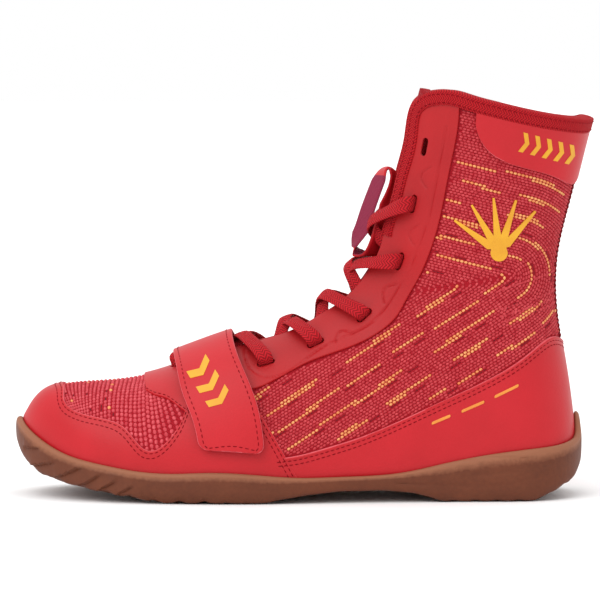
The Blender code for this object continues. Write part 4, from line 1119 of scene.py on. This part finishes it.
def make_vamp_lining():
    ribs = [(TOE_EDGE, TOE_EDGE, TOE_EDGE)]
    for x, ridge_x in ((-139, -141), (-128, -130), (-112, -112), (-92, -92), (-62, -71)):
        ribs.append((foot_edge(x, LATERAL), top(ridge_x, 4.5), foot_edge(x, MEDIAL)))
    points = patch_grid(ribs, 40, (18, 18))
    made = sandwich("vamp_lining_look", points, on_last(points)[1], LINING[1], LINING[0], [LINER])
    place(made, "boot", "lining_red", "vamp_lining")
    declare_cloth(made, points)


LINING_FRONT = ((-56, 50), (-38, 56), (-12, 63), (15, 74), (38, 87), (54, 112), (61, 130), (66, 150), (70.5, 170),
                (74, 188), COLLAR_FRONT)


def seam_points(places, hand):
    """Points near the back seam, from (z, y) pairs."""
    return [back_seam(z, y, hand) for z, y in places]


def make_quarter_lining(hand, word):
    rear_line = [foot_edge(x, hand) for x in (-60, -35, -2, 35, 75, 115)]
    rear_line += seam_points(((32, 9), (66, 2.5), (108, 1.6), (150, 1.5), (COLLAR_BACK_Z, 1.5)), hand)
    ribs = [(side(x, z, hand), rear) for (x, z), rear in zip(LINING_FRONT, rear_line)]
    made, points = panel(f"quarter_lining_{word}", "lining_red", ribs, 2.4, LINING, [LINER])
    declare_cloth(made, points)


def make_back_strip():
    ribs = [[LAST.cast((400, hand * 5.5, z), (-1, 0, 0)) for hand in BOTH]
            for z in (81, 95, 109, 123, 137, 151, 164.5)]
    _, points = panel("back_strip", "tape_red", ribs, 0.9, BACK_TAPE, [STRIP])
    stitches("back_strip_stitching", [inset_line(points, edge, 1.0) for edge in ("left", "right")], BACK_TAPE[1],
             length=1.9, gap=0.7, width=0.5)


PATCH_LOW = ((87.5, 186), (95, 177), (106, 171), (119, 167.3), (130, 163.5), (136.5, 160.5))
PATCH_HIGH_X = (88.5, 96.5, 107.5, 119, 129.5, 136)
BINDING_THICKNESS = 0.85
BINDING_HEIGHT = 6.7
PATCH_TUCK = BINDING_HEIGHT - 2.2


def collar_edge(hand, count):
    """`count` + 1 points along the collar's edge on one side, front to back."""
    return LAST.path(side(*COLLAR_FRONT, hand), back_seam(COLLAR_BACK_Z, 1.5, hand), count)


def collar_line(hand, depth):
    """Surface points `depth` mm below the collar's edge on one side, front to back."""
    places, normals = on_last(collar_edge(hand, 24))
    down = unit(np.cross(np.gradient(places, axis=0), normals) * -hand)
    down *= np.sign(-down[:, 2:])
    return on_last(places + down * depth)[0]


def border_lines(points, distance):
    """Four lines inside a panel's border, trimmed so they meet at the corners."""
    lines = []
    for edge in ("first", "right", "last", "left"):
        line = inset_line(points, edge, distance)
        length = running_length(line)
        keep = (length > distance * 0.9) & (length < length[-1] - distance * 0.9)
        if keep.sum() > 1:
            lines.append(line[keep])
    return lines


def make_collar_patch():
    halves = []
    for hand in BOTH:
        edge = collar_line(hand, PATCH_TUCK)
        highs = read_along(edge, edge[:, 0], PATCH_HIGH_X)
        halves.append([(side(*low, hand), high) for low, high in zip(PATCH_LOW, highs)])
    seam_z = collar_line(LATERAL, PATCH_TUCK)[-1][2]
    middle = [(LAST.at((170, 0, 157.5))[0], LAST.at((170, 0, seam_z))[0])]
    panel("collar_patch", "coated_red", halves[0] + middle + halves[1][::-1], 1.0, PATCH, [RED, EDGE_HIGHLIGHT_PINK],
          radius=9.0, edge_slot=1, low_only=True)
    for hand, word in HANDS:
        print_chevrons(f"patch_trim_{word}", "boot", (112.5, 182.0), (23.5, -6.2), 5, 5.0, 1.15, hand, PATCH[1])


CHEVRON_ROWS = 7
CHEVRON_SLANT = 0.42


def print_chevrons(node, body, start, run, count, half_tall, half_thick, hand, height):
    """A row of raised chevrons from `start` along `run` in side view; `height` is the printed surface's."""
    along = np.array(run) / np.linalg.norm(run)
    up = np.array((-along[1], along[0]))
    last = 4 * CHEVRON_ROWS - 1
    limb = [*tube_faces(CHEVRON_ROWS, 4), (0, 1, 2, 3), (last, last - 1, last - 2, last - 3)]
    vertices, faces = [], []
    for k in range(count):
        middle = np.array(start) + np.array(run) / (count - 1) * k
        for flip in (1, -1):
            faces += [tuple(len(vertices) + corner for corner in face) for face in limb]
            for share in np.linspace(0, 1, CHEVRON_ROWS):
                spot = middle + up * (flip * half_tall * share) + along * (half_tall * CHEVRON_SLANT * (0.5 - share))
                low, high = (LAST.at(side(*(spot + along * edge), hand)) for edge in (-half_thick, half_thick))
                for point, normal, rise in ((*low, -0.2), (*low, 0.22), (*high, 0.22), (*high, -0.2)):
                    level = height(point[None])[0] if callable(height) else height
                    vertices.append(point + normal * (level + rise))
    made = mesh_object(node + "_look", vertices, faces, [YELLOW], smooth=30)
    face_outward(made)
    place(made, body, "yellow_print", node)


# The binding's fold: how far the edge and then its bulge stand over the panels' edge, and its width in tape.
FOLD_OVER = 0.7
FOLD_BULGE = 1.1
FOLD_WIDTH = 4.0
FOLD_STEPS = 8
BINDING_SPANS = 420


def make_collar_binding():
    """Herringbone tape folded over the throat's upper edges and the collar."""
    lateral, medial = (throat_edge(hand)[6:] + [side(x, z, hand) for x, z in COLLAR_CORNER] + collar_edge(hand, 8)
                       for hand in BOTH)
    places, normals = on_last(through(lateral + medial[::-1], BINDING_SPANS))
    into = np.cross(unit(np.gradient(places, axis=0)), normals)
    total = len(places)
    share = np.minimum(np.arange(total), total - 1 - np.arange(total)) / (total - 1)
    # The tape's inner leaf lies under the throat's edge, then under the lining along the collar.
    inner = -0.4 + (LINING[0] - 0.1) * smoothstep((share - 0.12) / 0.08)
    under = inner - 0.8
    outer = 1.0 + BINDING_THICKNESS
    steps = np.linspace(0, 1, 7)
    downs = [on_last(places + into * (BINDING_HEIGHT * s - FOLD_OVER)) for s in steps]
    section, across = [], []

    def leaf(level, widths, order=1, sunk=0.0):
        """Adds one face of the tape, from the fold to its edge, or back if `order` is -1. The edge is `sunk`."""
        levels = [level] * (len(steps) - 1) + [level - sunk]
        for (down, away), height, width in list(zip(downs, levels, widths))[::order]:
            section.append(down + away * np.broadcast_to(height, total)[:, None])
            across.append(width)

    leaf(outer, BINDING_HEIGHT * (1 - steps), -1, sunk=0.35)
    for k in range(1, FOLD_STEPS):
        turn = math.pi * k / FOLD_STEPS
        level = (outer + under) / 2 + math.cos(turn) * (outer - under) / 2
        section.append(places - into * (FOLD_OVER + FOLD_BULGE * math.sin(turn)) + normals * level[:, None])
        across.append(BINDING_HEIGHT + FOLD_WIDTH * k / FOLD_STEPS)
    leaf(under, BINDING_HEIGHT + FOLD_WIDTH + BINDING_HEIGHT * steps)
    leaf(inner, np.full(len(steps), BINDING_HEIGHT * 2 + FOLD_WIDTH), -1)
    leaf(0.9, np.zeros(len(steps)))
    grid = np.stack(section, axis=1)
    count = grid.shape[1]
    faces = tube_faces(total, count) + [tuple(range(start, start + count)) for start in (0, (total - 1) * count)]
    made = mesh_object("collar_binding_look", grid.reshape(-1, 3), faces, [TAPE], tube_uv(places, across) * MM)
    face_outward(made)
    place(made, "boot", "tape_red", "collar_binding")
    rows = [on_last(places + into * depth)[0] for depth in (0.5, BINDING_HEIGHT - 1.8)]
    stitches("collar_binding_stitching", rows, outer, length=2.0, gap=0.7)


def make_tongue():
    """One padded piece from the vamp to above the collar."""
    ribs = [(top(x, 2 - half), top(x, 2), top(x, 2 + half))
            for x, half in ((-68, 29), (-46, 31), (-24, 25), (-2, 22), (14, 22))]
    ribs += [(front(-half, z), front(0, z), front(half, z))
             for z, half in ((113, 23), (130, 23), (148, 23), (168, 23), (182, 23), (195, 23), (204, 21), (210.5, 13))]
    made, _ = slab("tongue_look", ribs, 1.6, TONGUE, [TONGUE_CLOTH], radius=9.0, edge=1.8, crown=0.4)
    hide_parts("tongue", "tongue_top")
    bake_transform(made)


# The keeper's loop in side view, as (x, z).
KEEPER_LINE = ((26.8, 127.6), (28.6, 132), (31.2, 138), (33.4, 145), (36, 152.5), (39.2, 161), (42.2, 167.2),
               (46, 167.4), (48.4, 160), (47.2, 150), (44.4, 139.5), (42, 131.8), (38.6, 125), (34.6, 123.2),
               (30, 124.4))
KEEPER_HALF_WIDTH = 5.5
KEEPER_HALF_THICK = 0.7
KEEPER_BEVEL = 0.35
# (share of the loop, lean along x per mm of width), and the share up to which its red face is the outer one.
KEEPER_TWIST = ((0, 0.1), (0.1, 0.62), (0.34, 0.55), (0.42, 0.1), (0.5, -0.3), (0.6, -1.25), (0.9, -1.1), (1, 0.1))
KEEPER_TURN = 0.36


def make_lace_keeper():
    line = np.array(KEEPER_LINE, float)
    line = cubic(np.arange(len(line) + 1), np.vstack([line, line[:1]]), np.linspace(0, len(line), 161)[:-1])
    run = np.roll(line, -1, axis=0) - np.roll(line, 1, axis=0)
    away = unit(np.stack([run[:, 1], -run[:, 0]], axis=1))
    width, half, bevel = KEEPER_HALF_WIDTH, KEEPER_HALF_THICK, KEEPER_BEVEL
    section = [(-width, half - bevel), (-width + bevel, half)]
    section += [(y, half) for y in np.linspace(-width + 1, width - 1, 9)]
    section += [(width - bevel, half), (width, half - bevel)]
    section += [(-y, -off) for y, off in section]
    y, off = np.array(section).T
    count, ring = len(line), len(section)
    share = np.arange(count) / count
    twist = np.interp(share, *zip(*KEEPER_TWIST))
    spots = line[:, None] + away[:, None] * off[:, None]
    vertices = np.stack(np.broadcast_arrays(spots[..., 0] - y * twist[:, None], y, spots[..., 1]), axis=-1)
    faces = tube_faces(count, ring, closed=True)
    outside = (off + np.roll(off, -1)) / 2 > 0.1
    kinds = (outside != (share < KEEPER_TURN)[:, None]).astype(int).reshape(-1)
    made = mesh_object("lace_keeper_look", vertices.reshape(-1, 3), faces, [RED, PURPLE], tube_uv(line, y) * MM, kinds)
    flip_if_inside_out(made)
    place(made, "boot", "coated_red", "lace_keeper")
    rows = []
    for y in (-width + 1.3, width - 1.3):
        spots = line + away * half
        points, run = spaced(np.stack([spots[:, 0] - y * twist, np.full(count, y), spots[:, 1]], axis=1), 2.8)
        rows.append((points, run, np.stack([run[:, 2], np.zeros(len(run)), -run[:, 0]], axis=1)))
    scatter("lace_keeper_stitching", "boot", *map(np.concatenate, zip(*rows)), (1.0, 0.27, 0.3), THREAD)


LACE_HALF_WIDTH = 4.0
LACE_HALF_THICK = 0.85
LACE_SPANS = 1100
LACE_RING = 20


def make_lace():
    """A flat braided lace, crowned and slightly puffed, along the CAD lace's route."""
    line = through([np.concatenate(pair) for pair in lace_half(MEDIAL)[:0:-1] + lace_half(LATERAL)], LACE_SPANS)
    places = line[:, :3]
    run = unit(np.gradient(places, axis=0))
    width = unit(line[:, 3:] - run * (line[:, 3:] * run).sum(axis=1, keepdims=True))
    thick = np.cross(run, width)
    length = running_length(places)
    sway = 0.06 * np.sin(length * 2.6)[:, None]
    section, widths = [], []
    for j in range(LACE_RING):
        turn = 2 * math.pi * j / LACE_RING
        across = math.copysign(abs(math.cos(turn)) ** 0.75, math.cos(turn)) * LACE_HALF_WIDTH
        rise = math.copysign(abs(math.sin(turn)) ** 0.8, math.sin(turn)) * LACE_HALF_THICK
        ripple = 0.10 * np.sin(2 * math.pi * (length / 1.3 + abs(across) * 0.5)) * abs(math.sin(turn))
        section.append(places + width * (across + sway) + thick * (rise + math.copysign(1, rise) * ripple)[:, None])
        widths.append(across + LACE_HALF_WIDTH)
    ends = [tuple(range(LACE_RING)), tuple(LACE_SPANS * LACE_RING + j for j in range(LACE_RING))[::-1]]
    made = mesh_object("lace_look", np.stack(section, axis=1).reshape(-1, 3),
                       tube_faces(LACE_SPANS + 1, LACE_RING) + ends, [LACE], tube_uv(places, widths) * MM)
    face_outward(made)
    place(made, "boot", "tape_red", "lace")


# (front, rear) of the strap's ribs on each side, low to high, as (x, z).
STRAP_SIDES = (((-51.5, 26.5), (-19, 24.6)), ((-55, 41), (-21.5, 43)), ((-59, 50), (-25, 54)),
               ((-62, 61), (-31, 67)))
STRAP_ROOT = ((-52.6, 32.3), (-19.6, 32.3))
STRAP_ANCHOR = (((-52.2, 31.6), (-19.6, 31.6)), ((-46, 24), (-18.5, 24)), ((-45, 19.5), (-18, 19)))
STRAP_RIDGE = ((-64, 3.2), (-34, 2.4))


def strap_layer(points):
    """The strap stands clear of its tapes at the sides and of the lace on top."""
    share = smoothstep(1.7 - np.abs(points[..., 1] - 2.5) / 34)
    return [STRAP_SIDE[k] + (STRAP_TOP[k] - STRAP_SIDE[k]) * share for k in (0, 1)]


def strap_face(points):
    return strap_layer(points)[1]


def side_ribs(ends, hand):
    """Ribs across the strap on one side, from the (x, z) of their front and rear ends."""
    return [(side(*fore, hand), side(*rear, hand)) for fore, rear in ends]


def make_strap():
    ribs = side_ribs(STRAP_SIDES, LATERAL) + [(top(*STRAP_RIDGE[0]), top(*STRAP_RIDGE[1]))]
    ribs += side_ribs((STRAP_ROOT, *STRAP_SIDES[1:]), MEDIAL)[::-1]
    _, points = panel("strap", "coated_red", ribs, 1.1, strap_layer, [RED, EDGE_HIGHLIGHT_PINK], body="strap", radius=4.5,
                      edge=0.8, edge_slot=1, soften=6, round_last=False)
    stitches("strap_stitching", border_lines(points, 2.8), strap_face, body="strap")
    panel("strap_anchor", "coated_red", side_ribs(STRAP_ANCHOR, MEDIAL), 1.2, STRAP_SIDE, [RED])
    pad = side_ribs([((fx + 3, fz + 1), (rx - 3, rz + 1)) for (fx, fz), (rx, rz) in STRAP_SIDES[:3]], LATERAL)
    panel("strap_loop_pad", "tape_red", pad, 1.2, (1.0, 2.2), [HOOKS])
    panel("strap_hook_pad", "tape_red", pad, 1.2, (2.35, 3.5), [HOOKS], body="strap")
    print_chevrons("strap_trim", "strap", (-50.2, 60.8), (8.7, -11.3), 3, 6.2, 1.5, LATERAL, strap_face)


EMBLEM_FOOT = (100.0, 126.0)
EMBLEM_LENGTH = 28.0
EMBLEM_RAYS = 5
RAY_STEPS = 16
HUB_RADIUS = 4.4


def make_emblem(hand, word):
    """A plain fan of five tapered rays joined at their foot."""
    foot = np.array(EMBLEM_FOOT)
    vertices = []

    def add(spot):
        point, normal = LAST.at(side(*spot, hand))
        vertices.extend([point + normal * (MESH[1] - 0.2), point + normal * 0.35])
        return len(vertices) // 2 - 1

    faces, border, ring = [], [], []
    for ray in range(EMBLEM_RAYS):
        angle = math.radians(48 + 24 * ray)
        along = np.array((math.cos(angle), math.sin(angle)))
        across = np.array((-along[1], along[0]))
        rows = []
        for share in np.linspace(0, 1, RAY_STEPS):
            half = 0.9 if share == 0 else 2.2 - 1.7 * share
            middle = foot + along * (HUB_RADIUS + (EMBLEM_LENGTH - HUB_RADIUS) * share)
            rows.append((add(middle - across * half), add(middle + across * half)))
        for (a, b), (d, c) in zip(rows, rows[1:]):
            faces.append((a, b, c, d))
        border += [a for a, _ in rows] + [b for _, b in rows[::-1]]
        ring += rows[0]
    hub = [math.radians(176 + 14 * i) for i in range(14)]
    hub = [add(foot + np.array((math.cos(a), math.sin(a))) * HUB_RADIUS) for a in hub]
    border += hub
    ring += hub
    centre = add(foot)
    faces += [(centre, a, b) for a, b in zip(ring, ring[1:] + ring[:1])]
    solid = [tuple(2 * v + 1 for v in face) for face in faces] + [tuple(2 * v for v in face[::-1]) for face in faces]
    solid += [(2 * b + 1, 2 * a + 1, 2 * a, 2 * b) for a, b in zip(border, border[1:] + border[:1])]
    made = mesh_object(f"emblem_{word}_look", vertices, solid, [YELLOW], smooth=30)
    flip_if_inside_out(made)
    place(made, "boot", "yellow_print", f"emblem_{word}")


# (front, rear) end of each orange stroke on the heel panel, as (x, z).
ACCENTS = (((65.8, 39.3), (75.4, 43.3)), ((81, 45.4), (92.6, 50.5)), ((97.7, 52.9), (109.8, 58.8)))


def make_accents(hand, word):
    for index, (low, high) in enumerate(ACCENTS):
        ribs = [(side(x, z - 0.8, hand), side(x, z + 0.8, hand)) for x, z in np.linspace(low, high, 3)]
        panel(f"heel_accent_{word}_{index + 1}", "yellow_print", ribs, 0.5, (OVERLAY[1] - 0.3, OVERLAY[1] + 0.3),
              [ORANGE], radius=0.75, edge=0.25)


# ---- The sole ---------------------------------------------------------------------------------------

SOLE_STEPS = 330
# (outward from the feather line, share of the way down) round the side wall.
WALL_PROFILE = ((1.2, 0.16), (1.0, 0.04), (1.6, -0.02), (2.7, -0.02), (3.6, 0.02), (4.2, 0.10), (4.5, 0.24),
                (4.55, 0.42), (4.45, 0.6), (4.2, 0.78), (3.6, 0.91), (2.4, 0.985), (0.6, 1.0))
WALL_ROWS = 40
BOTTOM_COLUMNS = 44
LOBE_PITCH = 12.5
LOBE_START = -137.0
# Each toe lobe's lower edge in side view, from its foot at the tread up and back.
LOBE_EDGES = (((-142, 25), (-134, 25.5)), ((-137.5, 16), (-126, 19.2)), ((-123.5, 12), (-111, 17.8)),
              ((-112.5, 7.5), (-101.5, 14.5)), ((-103, 5.5), (-93.5, 12)), ((-94, 3.5), (-85.5, 9.2)))
# Lines pressed into the heel's wall.
HEEL_LINES = (((48, 9.5), (70, 8.5), (90, 8.2), (106, 9.0), (118, 12), (127, 17)),
              ((84, 21.5), (100, 22.5), (116, 22), (127, 21), (118, 17.5), (102, 15), (88, 13.8)))


def wall_relief(x, share, z):
    """Outward relief of the side wall: overlapping lobes at the toe, fine ribs behind them, lines on the heel."""
    relief = np.zeros_like(x)
    for (ax, az), (bx, bz) in LOBE_EDGES:
        run = np.array((bx - ax, bz - az))
        size = np.linalg.norm(run)
        run /= size
        along = ((x - ax) * run[0] + (z - az) * run[1]) / size
        above = (z - az) * run[0] - (x - ax) * run[1]
        fade = smoothstep((along + 0.25) / 0.2) * smoothstep((1.15 - along) / 0.5)
        relief += fade * np.where(above > 0, 0.9 * np.exp(-np.maximum(above, 0) / 3.0),
                                  -1.1 * np.exp(np.minimum(above, 0) / 1.6))
    ribs = smoothstep((x + 86) / 6) * smoothstep((-8 - x) / 10) * smoothstep((share - 0.55) / 0.15)
    relief += ribs * 0.3 * np.sin(2 * math.pi * (x - 1.4 * z + 0.8 * np.sin(x / 5)) / 3.0)
    flat = np.column_stack([x, z, np.zeros_like(x)])
    for line in HEEL_LINES:
        path = through([(a, b, 0.0) for a, b in line], 30)
        relief -= 0.5 * np.exp(-(gap_to_line(flat, path) / 0.5) ** 2)
    lip = np.exp(-((share - 0.14) / 0.035) ** 2)
    return relief - 0.25 * lip


def scallop(x):
    """How far the tread's edge rises between its blocks."""
    toe = smoothstep((-30 - x) / 20) * np.abs(np.cos(math.pi * (x - LOBE_START) / LOBE_PITCH)) ** 4
    heel = smoothstep((x - 66) / 8) * np.abs(np.cos(math.pi * x / 11)) ** 4
    return 1.1 * toe + 0.5 * heel


def tread(x, y):
    """Depth of the sole's wavy tread grooves."""
    wave = x + 3.2 * np.sin(y / 5.5)
    lines = np.cos(2 * math.pi * wave / 6.5)
    pad = smoothstep((-10 - x) / 6) + smoothstep((x - 70) / 6)
    pivot = ((x + 75) / 17) ** 2 + ((y - 2) / 17) ** 2
    rings = np.cos(2 * math.pi * np.sqrt(np.maximum(pivot, 0)) * 2.6)
    lines = np.where(pivot < 1, rings, lines)
    return 0.75 * pad * smoothstep((lines - 0.15) / 0.4)


def sole_wall(points, outward, profile):
    """Rows of one side wall, from inside the upper out, down and under to the tread's edge."""
    low = monotone(SOLE_BOTTOM, (points + outward * 1.5)[:, 0])
    ends = np.minimum(np.arange(len(points)), len(points) - 1 - np.arange(len(points)))
    rows = []
    for out, share in profile:
        row = points + outward * out
        row[:, 2] = points[:, 2] - share * (points[:, 2] - low)
        if share > 0.9:
            row[:, 2] += (monotone(SOLE_BOTTOM, row[:, 0]) - low) * smoothstep((share - 0.9) / 0.1)
        if out > 1.5:
            relief = wall_relief(row[:, 0], np.full(len(points), max(share, 0)), row[:, 2])
            row = row + outward * (relief * smoothstep(ends / 6))[:, None]
        row[:, 2] += scallop(row[:, 0]) * smoothstep((share - 0.72) / 0.28)
        rows.append(row)
    return np.array(rows)


def make_outsole():
    profile = cubic(np.arange(len(WALL_PROFILE)), WALL_PROFILE, np.linspace(0, len(WALL_PROFILE) - 1, WALL_ROWS))
    lateral, medial = (sole_wall(points, outward, profile) for points, outward in sole_halves(SOLE_STEPS))
    first, last = lateral[-1], medial[-1]
    bottom = []
    for share in np.linspace(0, 1, BOTTOM_COLUMNS + 2)[1:-1]:
        row = first + (last - first) * share
        inset = np.minimum(*(np.linalg.norm(row[:, :2] - edge[:, :2], axis=1) for edge in (first, last)))
        row[:, 2] = monotone(SOLE_BOTTOM, row[:, 0]) + tread(row[:, 0], row[:, 1]) * smoothstep(inset - 1.5)
        bottom.append(row)
    floor = []
    for share in (0.98, 0.75, 0.5, 0.25, 0.02):
        row = lateral[0] + (medial[0] - lateral[0]) * share
        row[:, 2] = monotone(SOLE_BOTTOM, row[:, 0]) + OUTSOLE_FLOOR
        floor.append(row)
    grid = np.stack([*lateral, *bottom, *medial[::-1], *floor], axis=1)
    heights = [1 - max(share, 0) for _, share in profile]
    across = heights + [0.0] * len(bottom) + heights[::-1] + [0.3] * len(floor)
    made = mesh_object("outsole_look", grid.reshape(-1, 3), tube_faces(*grid.shape[:2]), [GUM],
                       tube_uv(lateral[5] * MM, across), smooth=50)
    face_outward(made, weld=2e-5)
    place(made, "boot", "gum_rubber", "outsole")


# ---- Carried-over nodes, the studio and the camera --------------------------------------------------

def dress_nodes():
    for node, surface in (("midsole", FOAM), ("insole_board", BOARD), ("toe_puff", BOARD), ("heel_counter", BOARD),
                          ("sockliner", SOCK)):
        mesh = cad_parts[node].data
        mesh.materials.clear()
        mesh.materials.append(surface)


CAMERA_PLACE = (-0.001, -1.9, 0.215)
CAMERA_AIM = (-0.001, 0.0, 0.1)
CAMERA_LENS = 221.0
FLOOR_HALF = 30.0
FLOOR_Z = -0.0004


def soft_sun(name, direction, strength, angle):
    """A wide, distant softbox: `direction` is the way its light travels."""
    light = bpy.data.lights.new(name, "SUN")
    light.energy = strength
    light.angle = math.radians(angle)
    made = bpy.data.objects.new(name, light)
    made.rotation_euler = Vector(direction).to_track_quat("-Z", "Y").to_euler()
    bpy.context.scene.collection.objects.link(made)


def build_studio():
    scene = bpy.context.scene
    scene.view_settings.view_transform = "Standard"
    world = bpy.data.worlds.new("studio")
    world.use_nodes = True
    sky = world.node_tree.nodes["Background"]
    sky.inputs["Color"].default_value = (1, 1, 1, 1)
    sky.inputs["Strength"].default_value = 1.0
    scene.world = world
    floor_look = bpy.data.materials.new("floor")
    floor_look.use_nodes = True
    shader = floor_look.node_tree.nodes["Principled BSDF"]
    shader.inputs["Base Color"].default_value = (0.94, 0.94, 0.94, 1)
    shader.inputs["Roughness"].default_value = 0.9
    mesh = bpy.data.meshes.new("floor")
    corners = ((-1, -1), (1, -1), (1, 1), (-1, 1))
    mesh.from_pydata([(x * FLOOR_HALF, y * FLOOR_HALF, FLOOR_Z) for x, y in corners], [], [(0, 1, 2, 3)])
    mesh.materials.append(floor_look)
    floor = bpy.data.objects.new("floor", mesh)
    scene.collection.objects.link(floor)
    soft_sun("key", (0.55, 0.75, -0.9), 1.2, 50)
    soft_sun("top", (-0.1, -0.15, -1.0), 0.6, 70)
    camera = bpy.data.cameras.new("camera")
    camera.lens = CAMERA_LENS
    camera.sensor_width = 36.0
    made = bpy.data.objects.new("camera", camera)
    made.location = CAMERA_PLACE
    made.rotation_euler = (Vector(CAMERA_AIM) - Vector(CAMERA_PLACE)).to_track_quat("-Z", "Y").to_euler()
    scene.collection.objects.link(made)
    scene.camera = made


def main():
    make_outsole()
    make_vamp_lining()
    make_toe_panel()
    make_vamp_mesh()
    make_vamp_overlay()
    for hand, word in HANDS:
        make_quarter_lining(hand, word)
        make_quarter_mesh(hand, word)
        make_eyestay(hand, word)
        make_emblem(hand, word)
    make_heel_panel()
    for hand, word in HANDS:
        make_accents(hand, word)
    make_back_strip()
    make_collar_patch()
    make_collar_binding()
    make_tongue()
    make_lace_keeper()
    make_lace()
    make_strap()
    dress_nodes()
    build_studio()


main()
